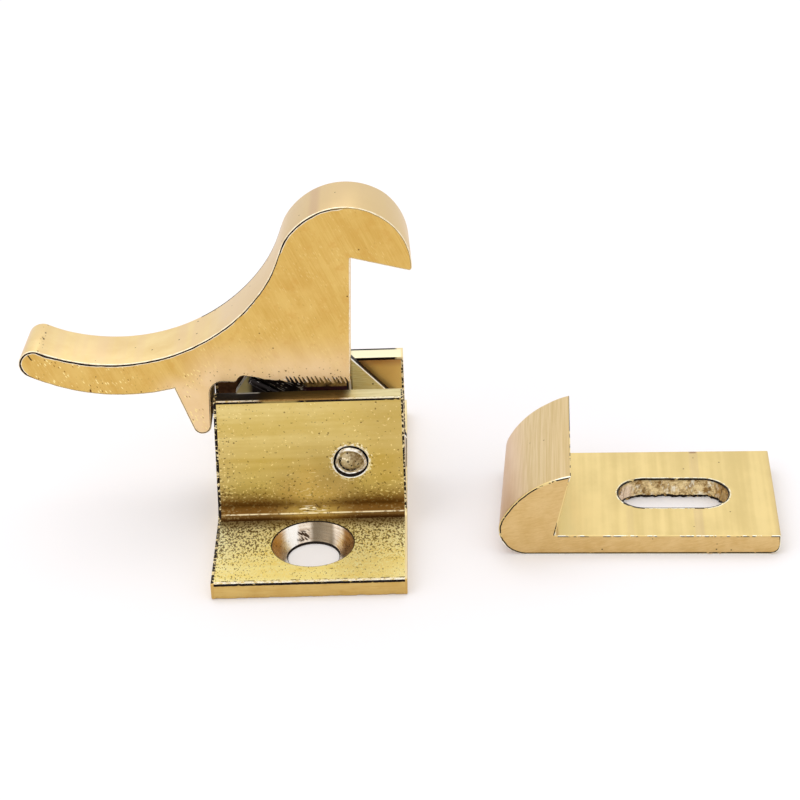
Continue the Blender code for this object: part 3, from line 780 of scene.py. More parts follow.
def make_strike(materials):
    """The side outline carried across, then tapered and skewed, with its two ends and the slot."""
    side, facets, width, flats = strike_side()
    rag = np.abs(ripple(walk_along(side) * 1.3, 5.0))
    shell = Shell()
    stations = np.linspace(-STRIKE_HALF + 0.4, STRIKE_HALF - 0.4, 30)
    near = rim_rings(side, -STRIKE_HALF, 1, 0.06 + 0.05 * rag, width)
    far = rim_rings(side, STRIKE_HALF, -1, 0.08)[::-1]
    net = np.concatenate([near] + [level_ring(side, s) for s in stations] + [far])
    # the lip narrows towards its back: its curved side moves right there, a little left in front
    share = np.clip((LIP_TIP[0] - net[..., 0]) / 2.5, 0, 1)
    net[..., 0] += share * (LIP_SHIFT + LIP_TAPER * net[..., 2] / STRIKE_HALF)
    # the back is sawn a little out of square, deeper towards the plate's end
    share = np.clip(net[..., 2] / STRIKE_HALF, 0, 1) * np.clip((net[..., 0] + 9.0) / 19.0, 0, 1)
    net[..., 2] += BACK_SKEW * share
    net[..., 0] -= END_SKEW * share
    # the front's low edge is left wavy by the saw
    low = np.clip(1 - net[:4, :, 1] / 0.3, 0, 1) * (net[:4, :, 0] > LIP_TIP[0] - 5)
    net[:4, :, 1] += low * FRONT_WAVE * np.clip(ripple(net[:4, :, 0] * 1.6, 4.0), 0, 1)
    rows = len(net) - 1
    finish = np.repeat(facets[None], rows, 0)
    # dark edge line of painted shade and grime on the front face, painted highlight on its eased rim
    finish[0], finish[1:4] = STRIKE_LINE, STRIKE_GLINT
    shell.grid(strike_place(net), finish, skip=[(4, rows - 3, column) for column in flats.values()])
    for ring in (net[0], net[-1]):
        shell.sheet([ring[:, :2]], lambda p, y=ring[0, 2]: strike_place(np.insert(p, 2, y, axis=1)), STRIKE_END)
    top_slot, low_slot = slot_wall(shell)
    plate_rim(shell, net[4:-3], top_slot, flats["plate"], STRIKE_THICKNESS)
    plate_rim(shell, net[4:-3], low_slot, flats["underside"], 0.0)
    return make_piece("strike_body", shell, materials, "bracket", "strike")


def plate_rim(shell, inner, hole, column, z):
    """One flat of the plate, from its edges to the slot."""
    edge = net_window(inner, column)[:, [0, 2]]
    shell.sheet([edge, hole], lambda p: strike_place(np.insert(p, 1, z, axis=1)), finish=STRIKE_SKIN)


# Finishes

class Finish:
    """One procedural material, with short names for the nodes that brass and wire need."""

    def __init__(self, name):
        self.material = bpy.data.materials.new(name)
        self.material.use_nodes = True
        self.nodes = self.material.node_tree.nodes
        self.links = self.material.node_tree.links
        self.shader = self.nodes["Principled BSDF"]
        self.place = self.add("TexCoord", out="Object")
        self.split = self.add("SeparateXYZ", {"Vector": self.place}).node

    def add(self, kind, inputs=None, out=0, **settings):
        """One node: its settings, then its inputs as links or values; gives back an output."""
        node = self.nodes.new("ShaderNode" + kind)
        for key, value in settings.items():
            setattr(node, key, value)
        for key, value in (inputs or {}).items():
            if isinstance(value, bpy.types.NodeSocket):
                self.links.new(value, node.inputs[key])
            else:
                node.inputs[key].default_value = value
        return node.outputs[out]

    def sized(self, size, turn):
        """Object coordinates turned, then measured in steps of size, in millimetres."""
        return self.add("Mapping", {"Vector": self.place, "Rotation": turn, "Scale": [s * MM for s in size]},
                        vector_type="TEXTURE")

    def noise(self, size, turn=(0, 0, 0), detail=3.0, rough=0.5, warp=0.0):
        """Cloudy pattern with grains of that size."""
        return self.add("TexNoise", {"Vector": self.sized(size, turn), "Scale": 1.0, "Detail": detail,
                                     "Roughness": rough, "Distortion": warp})

    def specks(self, size, radius, share, turn=(0, 0, 0)):
        """1 at small spots: one to a cell, kept in that share of the cells."""
        distance = self.add("TexVoronoi", {"Vector": self.sized(size, turn), "Scale": 1.0})
        tint = self.add("SeparateColor", {"Color": distance.node.outputs["Color"]})
        chosen = self.add("Math", {0: tint, 1: share}, operation="LESS_THAN")
        return self.times(self.ramp(distance, radius, radius * 0.55), chosen)

    def ramp(self, value, low, high, floor=0.0, ceiling=1.0):
        """Smooth rise from floor at low to ceiling at high."""
        return self.add("MapRange", {"Value": value, "From Min": low, "From Max": high,
                                     "To Min": floor, "To Max": ceiling}, interpolation_type="SMOOTHSTEP")

    def along(self, axis, low, high, floor=0.0, ceiling=1.0):
        """Smooth rise between two places on x, y or z, in millimetres."""
        return self.ramp(self.split.outputs["xyz".index(axis)], low * MM, high * MM, floor, ceiling)

    def window(self, axis, low, high, soft):
        """1 between two places on an axis, fading out over the soft width on each side."""
        return self.times(self.along(axis, low - soft, low + soft), self.along(axis, high + soft, high - soft))

    def times(self, first, *others):
        """Product of all that is given, from the left."""
        for other in others:
            first = self.add("Math", {0: first, 1: other}, operation="MULTIPLY")
        return first

    def either(self, first, second):
        """The larger of two shares."""
        return self.add("Math", {0: first, 1: second}, operation="MAXIMUM")

    def plus(self, first, second, weight=1.0):
        """first + weight times second."""
        return self.add("Math", {0: second, 1: weight, 2: first}, operation="MULTIPLY_ADD")

    def mixed(self, share, first, second):
        """First colour, going to the second as share goes to 1."""
        first, second = ((*c, 1.0) if isinstance(c, tuple) else c for c in (first, second))
        return self.add("Mix", {0: share, 6: first, 7: second}, out=2, data_type="RGBA")

    def bump(self, height, strength, distance=0.02):
        """Relief from a height, with its distance in millimetres."""
        normal = self.add("Bump", {"Height": height, "Strength": strength, "Distance": distance * MM})
        self.links.new(normal, self.shader.inputs["Normal"])

    def done(self, colour, roughness, metallic=1.0):
        """Colour and roughness on the shader; gives back the material."""
        self.links.new(colour, self.shader.inputs["Base Color"])
        self.links.new(roughness, self.shader.inputs["Roughness"])
        self.shader.inputs["Metallic"].default_value = metallic
        return self.material


def drawn_size(along, across, length):
    """Grain that is long on the drawing axis and narrow on the others."""
    return tuple(length if axis == along else across for axis in "xyz")


def lever_skin():
    """Extruded skin: lines along the thickness, pale, pinker on the steep parts."""
    f = Finish("lever skin")
    fine = f.noise(drawn_size("y", 0.22, 14.0), detail=3.0, rough=0.6)
    band = f.noise(drawn_size("y", 1.3, 40.0), detail=2.0)
    cloud = f.noise((3.0, 2.4, 3.0), detail=5.0, rough=0.6)
    colour = f.mixed(f.ramp(cloud, 0.3, 0.7), (0.82, 0.60, 0.27), (0.87, 0.68, 0.34))
    colour = f.mixed(f.ramp(band, 0.35, 0.72, 0.0, 0.6), colour, (0.80, 0.58, 0.34))
    steep = f.times(f.window("x", -9.0, 1.2, 2.0), f.along("z", 19.5, 22.0))
    colour = f.mixed(f.times(steep, f.ramp(cloud, 0.2, 0.8, 0.5, 1.0)), colour, (0.80, 0.62, 0.42))
    colour = f.mixed(f.along("x", -27.0, -28.0, 0.0, 0.7), colour, (0.76, 0.55, 0.36))
    colour = f.mixed(f.along("z", 20.0, 28.0, 0.0, 0.75), colour, (0.68, 0.50, 0.26))
    pink = f.times(f.window("x", 1.15, 2.05, 0.3), f.along("z", 31.5, 33.0, 0.0, 0.55))
    colour = f.mixed(pink, colour, (0.60, 0.40, 0.25))
    nicks = f.times(f.specks((0.42, 0.5, 0.6), 0.42, 0.8), f.window("x", -26.2, -25.85, 0.1),
                    f.along("z", 16.5, 17.0))
    pits = f.plus(f.specks((0.9, 0.9, 0.9), 0.12, 0.18), nicks)
    colour = f.mixed(pits, colour, (0.10, 0.06, 0.025))
    f.bump(f.plus(f.plus(fine, band, 1.5), pits, -1.0), 0.22)
    return f.done(colour, f.ramp(cloud, 0.2, 0.8, 0.30, 0.42))


def lever_face():
    """Sawn face, brushed on the slant, warm gold, pinker and paler near the milled edge and down the prong."""
    f = Finish("lever face")
    lean = (0, np.radians(-24), 0)
    stroke = f.noise((0.16, 1.0, 3.4), lean, detail=4.0, rough=0.62)
    sweep = f.noise((0.9, 2.0, 8.0), lean, detail=2.0)
    cloud = f.noise((3.6, 3.6, 3.6), detail=5.0, rough=0.62)
    colour = f.mixed(f.ramp(f.plus(stroke, sweep, 0.8), 0.6, 1.2), (0.655, 0.40, 0.095), (0.765, 0.52, 0.155))
    colour = f.mixed(f.ramp(cloud, 0.40, 0.66, 0.0, 0.6), colour, (0.79, 0.54, 0.17))
    mottle = f.noise((1.5, 1.5, 1.5), detail=5.0, rough=0.7)
    colour = f.mixed(f.ramp(mottle, 0.52, 0.68, 0.0, 0.5), colour, (0.66, 0.37, 0.085))
    near_mill = f.times(f.along("z", 21.5, 15.6), f.along("x", -13.5, -9.0))
    prong = f.times(f.along("z", 17.8, 14.5), f.along("x", -16.0, -12.5))
    bloom = f.either(near_mill, prong)
    colour = f.mixed(f.times(bloom, f.ramp(cloud, 0.2, 0.75, 0.6, 1.0)), colour, (0.90, 0.67, 0.40))
    hatch = f.specks((0.2, 0.8, 0.6), 0.36, 0.65, (0, np.radians(-33), 0))
    patch = f.ramp(f.noise((2.4, 2.4, 1.6), detail=2.0), 0.42, 0.54)
    arm = f.along("x", -8.0, -13.0, 0.2, 1.0)
    colour = f.mixed(f.times(hatch, patch, arm), colour, (1.0, 0.82, 0.36))
    scores = f.specks((0.24, 0.9, 0.5), 0.3, 0.35, (0, np.radians(-30), 0))
    colour = f.mixed(f.times(scores, patch, arm), colour, (0.34, 0.17, 0.035))
    # painted highlight on the burrs of the milled comb
    burrs = f.times(f.window("z", 15.45, 16.15, 0.06), f.window("x", -3.2, 3.7, 0.3))
    burrs = f.times(burrs, f.specks((0.2, 1.0, 0.9), 0.36, 0.75, (0, np.radians(-32), 0)))
    colour = f.mixed(burrs, colour, (1.0, 0.95, 0.84))
    slant = f.plus(f.split.outputs[0], f.split.outputs[2], 0.5625)
    nick = f.times(f.ramp(slant, -16.28 * MM, -16.2 * MM), f.ramp(slant, -16.04 * MM, -16.12 * MM),
                   f.window("z", 19.0, 19.75, 0.05))
    colour = f.mixed(nick, colour, (0.04, 0.02, 0.008))
    frayed = f.times(f.window("z", 15.2, 17.2, 0.5), f.along("x", -11.5, -9.5, 0.2, 1.0))
    grit = f.times(f.specks((0.34, 0.34, 0.34), 0.26, 0.5), frayed)
    grit = f.plus(grit, f.specks((1.1, 1.1, 1.1), 0.1, 0.25), 0.9)
    mark = f.times(f.window("x", -21.48, -21.3, 0.04), f.along("z", 15.7, 15.85, 1.0, 0.0),
                   f.ramp(f.noise((0.25, 0.25, 0.25)), 0.4, 0.5))
    grit = f.plus(grit, mark)
    colour = f.mixed(grit, colour, (0.16, 0.075, 0.02))
    f.bump(f.plus(f.plus(stroke, hatch, 0.5), grit, -0.8), 0.3)
    return f.done(colour, f.ramp(stroke, 0.3, 0.7, 0.34, 0.46))


def milled_web():
    """Web cut down for the spring: painted light where the catch is open, painted shade with oil and dust in the
    pocket, painted highlights and shade lines at its edges.
    """
    f = Finish("milled web")
    tool = f.noise((1.6, 1.0, 0.14), (0, np.radians(8), 0), detail=3.0, rough=0.6)
    cloud = f.noise((0.7, 0.7, 0.5), detail=4.0, rough=0.65)
    # painted light where the catch is open and on the tail
    open_side = f.along("x", 4.1, 4.5)
    tail = f.times(f.along("x", -5.7, -6.4), f.along("y", 1.0, 1.6))
    lit = f.either(open_side, tail)
    # painted shade with oil and dust in the pocket, blackest round the spring, and a painted shadow line above the
    # wall
    brown = f.mixed(f.ramp(cloud, 0.35, 0.65), (0.08, 0.042, 0.014), (0.62, 0.40, 0.12))
    oil = f.mixed(f.along("x", -1.5, 0.5), (0.018, 0.011, 0.007), brown)
    # painted highlights: glinting shreds and thin lines in the pocket
    shred_glints = f.specks((0.5, 0.4, 0.22), 0.36, 0.3, (0, np.radians(25), 0))
    scratches = f.specks((1.5, 0.5, 0.1), 0.4, 0.4, (0, np.radians(32), 0))
    shred_glints = f.either(shred_glints, scratches)
    oil = f.mixed(f.times(shred_glints, f.window("x", -5.4, -0.2, 0.5)), oil, (0.85, 0.78, 0.66))
    shadow = f.times(f.window("z", 11.4, 12.45, 0.06), f.window("x", -0.7, 3.9, 0.15))
    oil = f.mixed(f.times(shadow, f.ramp(cloud, 0.3, 0.5, 0.7, 1.0)), oil, (0.055, 0.010, 0.018))
    olive = f.mixed(f.ramp(tool, 0.3, 0.7), (0.82, 0.66, 0.22), (1.0, 0.88, 0.40))
    colour = f.mixed(lit, oil, f.mixed(open_side, (1.0, 0.86, 0.38), olive))
    # painted highlight down the ledge
    ledge_glint = f.times(f.window("x", 3.99, 4.19, 0.03), f.along("z", 13.25, 13.1))
    colour = f.mixed(ledge_glint, colour, (1.0, 0.93, 0.75))
    # painted highlight along the tail's left edge
    rim = f.plus(f.split.outputs[0], f.split.outputs[2], -0.664)
    rim = f.times(f.ramp(rim, -15.42 * MM, -15.5 * MM), f.along("z", 15.3, 15.0), tail)
    colour = f.mixed(rim, colour, (1.0, 0.95, 0.84))
    # painted shade in two narrow nooks beside the ledge
    nook_shade = f.plus(f.window("x", 3.74, 3.93, 0.03), f.window("x", 4.27, 4.33, 0.03))
    nook_shade = f.times(nook_shade, f.along("z", 13.35, 13.2))
    colour = f.mixed(nook_shade, colour, (0.02, 0.01, 0.008))
    # painted highlight on the heel's step, with a painted shade line beside it
    upright = f.plus(f.split.outputs[0], f.split.outputs[2], -0.0419)
    heel = f.times(f.ramp(upright, 9.12 * MM, 9.16 * MM), f.along("z", 7.0, 6.8))
    colour = f.mixed(heel, colour, (1.0, 0.95, 0.84))
    colour = f.mixed(f.times(heel, f.ramp(upright, 9.29 * MM, 9.33 * MM)), colour, (0.07, 0.045, 0.03))
    colour = f.mixed(f.specks((0.7, 0.7, 0.7), 0.16, 0.35), colour, (0.10, 0.06, 0.02))
    f.bump(f.plus(tool, cloud, 0.6), 0.5, 0.03)
    return f.done(colour, f.ramp(tool, 0.3, 0.7, 0.42, 0.6), metallic=0.12)


def dark_line(name, face, cover, size=(0.5, 0.5, 0.5), soft=0.06, thin=None):
    """Painted shade and grime along an edge, broken where the wave is over its cover, browner in a window on x."""
    f = Finish(name)
    wave = f.noise(size, detail=2.0, rough=0.7)
    shade_and_grime = EDGE_SHADE_AND_GRIME
    if thin:
        shade_and_grime = f.mixed(f.window("x", *thin), EDGE_SHADE_AND_GRIME, tuple(c * 0.6 for c in face))
    colour = f.mixed(f.ramp(wave, cover - soft, cover + soft), shade_and_grime, face)
    f.bump(wave, 0.2)
    return f.done(colour, f.ramp(wave, 0.3, 0.7, 0.45, 0.6), metallic=0.85)


def end_line():
    """Painted shade and grime down the bracket's ends and edges, in short strokes; none on the toe or on the foot's
    right end.
    """
    f = Finish("bracket edge line")
    wave = f.noise((0.4, 0.35, 0.3), detail=2.0, rough=0.7)
    foot = f.times(f.along("z", 2.3, 1.9), f.along("x", 8.6, 8.9))
    crest = f.times(f.along("z", 14.5, 14.8), f.along("y", 2.0, 3.0), f.along("x", 8.6, 9.0))
    bare = f.either(f.plus(f.along("y", -17.2, -17.35), crest), foot)
    worn = f.plus(f.times(f.ramp(wave, 0.50, 0.60), f.along("x", -8.6, -9.0)),
                  f.times(f.ramp(wave, 0.49, 0.57), f.along("x", 8.6, 9.0)))
    clean = f.either(worn, bare)
    skin = f.mixed(f.along("y", -17.2, -17.35), (0.88, 0.74, 0.42), (0.60, 0.39, 0.12))
    colour = f.mixed(clean, EDGE_SHADE_AND_GRIME, skin)
    f.bump(wave, 0.2)
    return f.done(colour, f.ramp(wave, 0.3, 0.7, 0.4, 0.55), metallic=0.85)


def bright_edge(name, colour_low, colour_high, metallic=0.75):
    """Edge with a painted highlight, a little uneven."""
    f = Finish(name)
    wave = f.noise((0.5, 0.5, 0.5), detail=3.0, rough=0.6)
    f.bump(wave, 0.15)
    colour = f.mixed(f.ramp(wave, 0.36, 0.6), colour_low, colour_high)
    return f.done(colour, f.ramp(wave, 0.3, 0.7, 0.24, 0.36), metallic)


def bracket_lip():
    """Edge of the bracket with a painted highlight, whitest at the toe, darkened by painted shade under the lever,
    yellower at the wall's right.
    """
    f = Finish("bracket bright edge")
    wave = f.noise((0.45, 0.45, 0.45), detail=3.0, rough=0.6)
    colour = f.mixed(f.ramp(wave, 0.34, 0.54), (0.80, 0.66, 0.34), (1.0, 0.97, 0.86))
    # painted shade where the lever hangs over the wall's edge
    stain = f.times(f.window("x", -4.8, 3.6, 0.5), f.along("z", 13.5, 14.0))
    colour = f.mixed(stain, colour, (0.36, 0.22, 0.07))
    colour = f.mixed(f.times(f.along("x", 3.8, 4.8), f.along("z", 13.5, 14.0, 0.0, 0.6)), colour, (0.82, 0.70, 0.40))
    f.bump(wave, 0.15)
    return f.done(colour, f.ramp(wave, 0.3, 0.7, 0.24, 0.36), metallic=0.6)


def bracket_skin():
    """Drawn skin of the walls: level lines, olive gold, darker low down and to the right, browner with painted shade
    in the fillet but for a painted glow in the middle, with painted highlights along the fillet and round the rivet.
    """
    f = Finish("bracket skin")
    fine = f.noise(drawn_size("x", 0.1, 7.0), detail=3.0, rough=0.6)
    band = f.noise(drawn_size("x", 0.8, 26.0), detail=2.0)
    cloud = f.noise((2.6, 2.6, 1.8), detail=5.0, rough=0.62)
    colour = f.mixed(f.ramp(f.plus(band, cloud, 0.7), 0.55, 1.1), (0.67, 0.50, 0.15), (0.80, 0.64, 0.26))
    # darker towards the bottom, which is painted shade, and towards the right
    low_right_darkening = f.either(f.along("z", 12.5, 8.5, 0.0, 0.3), f.along("x", 3.0, 7.5, 0.0, 0.4))
    colour = f.mixed(low_right_darkening, colour, (0.47, 0.31, 0.075))
    middle = f.window("x", -3.2, 3.4, 2.2)
    low = f.along("z", 6.6, 3.4)
    colour = f.mixed(f.times(low, middle, 0.75), colour, (0.74, 0.50, 0.10))
    # painted glow low in the middle of the wall
    glow = f.times(f.window("x", -1.2, 0.9, 1.5), f.window("z", 3.6, 7.4, 1.4))
    colour = f.mixed(f.times(glow, 0.55), colour, (0.90, 0.63, 0.16))
    # painted shade low on the wall and in the fillet's hollow, lighter in the middle
    shade = f.plus(f.along("z", 5.6, 2.7, 0.0, 0.92), middle, -0.62)
    colour = f.mixed(f.times(shade, f.along("z", 6.5, 5.2)), colour, (0.27, 0.125, 0.024))
    hollow = f.times(f.along("z", 2.07, 2.15), f.along("z", 3.9, 2.9),
                     f.plus(0.9, middle, -0.6))
    colour = f.mixed(hollow, colour, (0.18, 0.08, 0.014))
    # painted highlight along the fillet
    fillet_highlight = f.times(f.window("z", 2.01, 2.08, 0.05), f.ramp(f.noise((0.9, 0.9, 0.9)), 0.36, 0.5, 0.2, 1.0))
    colour = f.mixed(fillet_highlight, colour, (1.0, 0.86, 0.55))
    strands = f.noise((0.9, 0.14, 0.14), detail=1.0)
    torn = f.times(f.window("x", -1.3, 1.2, 0.5), f.window("z", 2.15, 2.75, 0.1))
    colour = f.mixed(f.times(torn, f.ramp(strands, 0.54, 0.60)), colour, (1.0, 0.86, 0.55))
    colour = f.mixed(f.times(torn, f.ramp(strands, 0.44, 0.38)), colour, (0.10, 0.05, 0.012))
    # painted shade in the crease at the wall's root, lighter in the middle
    root = f.along("z", 2.04, 1.97)
    colour = f.mixed(f.times(root, f.plus(0.95, middle, -0.3)), colour, (0.11, 0.055, 0.014))
    frayed = f.plus(f.along("z", 9.0, 3.2, 0.15, 0.6), f.along("x", -6.5, -9.3), 0.35)
    grains = f.noise((0.3, 0.3, 0.24), detail=1.5, rough=0.6)
    grit = f.ramp(f.plus(grains, frayed, 0.16), 0.70, 0.77)
    spark = f.times(f.ramp(f.plus(grains, frayed, -0.16), 0.31, 0.24), f.along("z", 3.0, 4.2, 0.15, 1.0))
    colour = f.mixed(f.times(spark, 0.85), colour, (1.0, 0.85, 0.42))
    far = f.add("VectorMath", {0: f.place, 1: (PIN_AT[0] * MM, -WALL_FACE * MM, PIN_AT[2] * MM)}, out="Value",
                operation="DISTANCE")
    dots = f.noise((0.24, 0.24, 0.24), detail=1.0)
    # painted highlight round the rivet's sunk ring, then bright dashes of painted highlight and dark dots
    ring = f.times(f.ramp(far, 1.8 * MM, 1.86 * MM), f.ramp(far, 2.01 * MM, 1.95 * MM))
    colour = f.mixed(f.times(ring, f.ramp(dots, 0.42, 0.52)), colour, (1.0, 0.95, 0.84))
    dashes = f.times(f.ramp(far, 1.98 * MM, 2.04 * MM), f.ramp(far, 2.3 * MM, 2.2 * MM), 0.85)
    colour = f.mixed(f.times(dashes, f.ramp(dots, 0.59, 0.64)), colour, (1.0, 0.92, 0.66))
    colour = f.mixed(f.times(dashes, f.ramp(dots, 0.41, 0.36)), colour, (0.10, 0.05, 0.016))
    pits = f.plus(grit, f.specks((0.85, 0.85, 0.8), 0.15, 0.5))
    colour = f.mixed(f.times(pits, 0.75), colour, (0.12, 0.06, 0.015))
    f.bump(f.plus(f.plus(fine, band, 1.2), pits, -0.8), 0.25)
    return f.done(colour, f.ramp(cloud, 0.2, 0.8, 0.30, 0.42))


def foot_skin():
    """Top of the feet: granular, darkened by painted shade next to the wall, with dark and bright grains that thin out
    towards the toe's middle.
    """
    f = Finish("foot skin")
    grains = f.noise((0.19, 0.30, 0.19), detail=2.0, rough=0.7)
    band = f.noise(drawn_size("x", 0.7, 20.0), detail=2.0)
    cloud = f.noise((2.4, 2.4, 2.4), detail=4.0, rough=0.6)
    colour = f.mixed(f.ramp(f.plus(band, cloud, 0.8), 0.6, 1.15), (0.92, 0.76, 0.22), (1.0, 0.93, 0.46))
    colour = f.mixed(f.along("x", 1.0, 4.5, 0.0, 0.3), colour, (0.76, 0.56, 0.17))
    # painted shade on the foot next to the wall
    shade_near_wall = f.along("y", -9.6, -6.3)
    colour = f.mixed(f.times(shade_near_wall, 0.92), colour, (0.17, 0.10, 0.02))
    density = f.plus(f.along("y", -15.5, -9.5, 0.16, 0.5), f.along("x", -3.8, -6.5), 0.12)
    grit = f.ramp(f.plus(grains, density, 0.3), 0.67, 0.72)
    spark = f.ramp(f.plus(grains, density, -0.28), 0.38, 0.32)
    colour = f.mixed(f.times(spark, f.along("y", -6.6, -8.4, 0.15, 0.95)), colour, (1.0, 0.96, 0.60))
    colour = f.mixed(f.times(grit, 0.9), colour, (0.10, 0.055, 0.013))
    frayed = f.times(f.window("y", -17.2, -16.9, 0.05), f.ramp(f.noise((0.5, 0.5, 0.5), rough=0.7), 0.48, 0.55))
    colour = f.mixed(f.times(frayed, 0.85), colour, (0.09, 0.05, 0.014))
    f.bump(f.plus(grains, band, 0.7), 0.45, 0.025)
    return f.done(colour, f.ramp(grains, 0.3, 0.7, 0.34, 0.5), metallic=0.7)


def channel_skin():
    """Inside of the channel: browned brass, with painted light at the open end and darkest in painted shade under the
    lever.
    """
    f = Finish("channel inside")
    fine = f.noise(drawn_size("x", 0.12, 5.0), detail=3.0)
    cloud = f.noise((1.6, 1.6, 1.2), detail=5.0, rough=0.6)
    # painted light at the open end, darker near the top; painted shade under the lever
    open_end = f.along("x", 2.0, 5.5)
    lit = f.mixed(f.along("z", 14.6, 13.6), (0.61, 0.35, 0.12), (0.88, 0.62, 0.20))
    channel_shade = f.mixed(f.ramp(cloud, 0.35, 0.65), (0.05, 0.022, 0.01), (0.16, 0.075, 0.03))
    colour = f.mixed(open_end, channel_shade, lit)
    f.bump(f.plus(fine, cloud, 0.5), 0.3)
    return f.done(colour, f.ramp(cloud, 0.3, 0.7, 0.4, 0.55))


def wall_top():
    """Tops of the walls: olive at the open end, pale at the back, dark with painted shade under the lever."""
    f = Finish("wall tops")
    fine = f.noise(drawn_size("x", 0.14, 3.0), detail=3.0, rough=0.6)
    cloud = f.noise((1.2, 0.5, 0.5), detail=4.0, rough=0.7)
    pale = f.mixed(f.ramp(fine, 0.3, 0.7), (0.62, 0.51, 0.22), (0.80, 0.70, 0.38))
    back = f.along("y", 0.0, 1.0)
    pale = f.mixed(back, pale, (0.96, 0.90, 0.62))
    # painted shade under the lever, blackest at the left, fading out past the lever's end and partly on the back wall
    stain = f.plus(f.along("x", 3.2, 4.9), cloud, 0.2)
    lever_shade_on_top = f.mixed(f.along("x", -6.0, -1.0), (0.02, 0.012, 0.008), (0.20, 0.125, 0.035))
    clean = f.either(f.ramp(stain, 0.1, 1.0), f.times(back, 0.35))
    colour = f.mixed(clean, lever_shade_on_top, pale)
    glint = f.times(f.window("y", -3.5, -3.28, 0.05), f.window("x", -6.9, -4.7, 0.2))
    colour = f.mixed(glint, colour, (1.0, 0.93, 0.80))
    f.bump(fine, 0.25)
    return f.done(colour, f.ramp(fine, 0.3, 0.7, 0.3, 0.42), metallic=0.8)


def sawn_face(name, body, pale, size, turn=(0, 0, 0), roughness=0.4, score=0.25):
    """Sawn face: strokes of the saw, a cloudy tint and a few dark scores."""
    f = Finish(name)
    stroke = f.noise(size, turn, detail=4.0, rough=0.65, warp=0.4)
    cloud = f.noise((2.2, 2.2, 2.2), detail=4.0, rough=0.6)
    colour = f.mixed(f.ramp(f.plus(stroke, cloud, 0.7), 0.55, 1.1), body, pale)
    grit = f.plus(f.specks((0.7, 0.7, 0.7), 0.15, score), f.ramp(stroke, 0.30, 0.22, 0.0, 0.5))
    colour = f.mixed(grit, colour, tuple(c * 0.22 for c in body))
    f.bump(f.plus(stroke, grit, -0.6), 0.4, 0.03)
    return f.done(colour, f.ramp(stroke, 0.3, 0.7, roughness - 0.05, roughness + 0.08))


def sink_skin():
    """Turned cone: silvery pink with rings and chatter marks, with painted reflections: a dark band, a white
    highlight, and warmer brown at its left and right ends.
    """
    f = Finish("countersink")
    ring = f.noise((3.0, 3.0, 0.09), detail=2.0)
    chatter = f.noise((0.3, 1.2, 0.5), (0, 0, np.radians(25)), detail=3.0, rough=0.7)
    colour = f.mixed(f.ramp(f.plus(ring, chatter, 0.8), 0.55, 1.2), (0.58, 0.44, 0.32), (0.90, 0.78, 0.64))
    # painted reflections fixed round the cone: a dark band right of the middle, a white highlight left of it, brown at
    # both ends
    side = f.along("x", -2.7, -3.2)
    colour = f.mixed(f.times(f.window("x", -0.1, 2.2, 0.3), 0.9), colour, (0.16, 0.115, 0.065))
    colour = f.mixed(f.times(f.window("x", -2.6, -1.4, 0.2), 0.9), colour, (1.0, 0.96, 0.90))
    colour = f.mixed(f.times(side, 0.85), colour, (0.60, 0.34, 0.12))
    colour = f.mixed(f.along("x", 2.9, 3.4, 0.0, 0.85), colour, (0.26, 0.13, 0.05))
    hatch = f.times(f.window("x", -1.5, -0.3, 0.12), f.window("z", 0.4, 1.15, 0.1))
    hatch = f.times(hatch, f.ramp(f.noise((0.1, 0.5, 0.7), (0, np.radians(-55), 0), detail=1.0), 0.46, 0.51))
    colour = f.mixed(hatch, colour, (0.06, 0.035, 0.02))
    grit = f.times(f.specks((0.35, 0.35, 0.35), 0.3, 0.45), f.plus(f.along("x", -3.9, 4.0, 0.35, 0.15), side, 0.5))
    colour = f.mixed(grit, colour, (0.12, 0.06, 0.03))
    f.bump(f.plus(ring, chatter, 0.6), 0.35, 0.03)
    return f.done(colour, f.ramp(chatter, 0.3, 0.7, 0.22, 0.36))


def rivet_skin():
    """Hammered end of the pin: dull, mottled grey brown, lighter at its left with painted light and painted glints on
    the dents there.
    """
    f = Finish("riveted end")
    blotch = f.noise((0.3, 0.3, 0.3), detail=4.0, rough=0.75)
    cloud = f.noise((1.2, 1.2, 1.2), detail=2.0)
    # painted light: lighter towards the left
    share = f.plus(f.plus(blotch, cloud, 0.5), f.along("x", 4.6, 3.4), 0.22)
    colour = f.mixed(f.ramp(share, 0.55, 1.0), (0.20, 0.125, 0.05), (0.60, 0.49, 0.30))
    # painted glints on the dents at the left
    dent_glints = f.times(f.specks((0.26, 0.26, 0.26), 0.5, 0.75), f.window("x", 3.1, 4.0, 0.15),
                    f.window("z", 7.6, 8.6, 0.2))
    colour = f.mixed(dent_glints, colour, (0.98, 0.87, 0.64))
    colour = f.mixed(f.specks((0.34, 0.34, 0.34), 0.4, 0.45), colour, (0.02, 0.013, 0.008))
    f.bump(blotch, 0.6, 0.05)
    return f.done(colour, f.ramp(blotch, 0.3, 0.7, 0.36, 0.55))


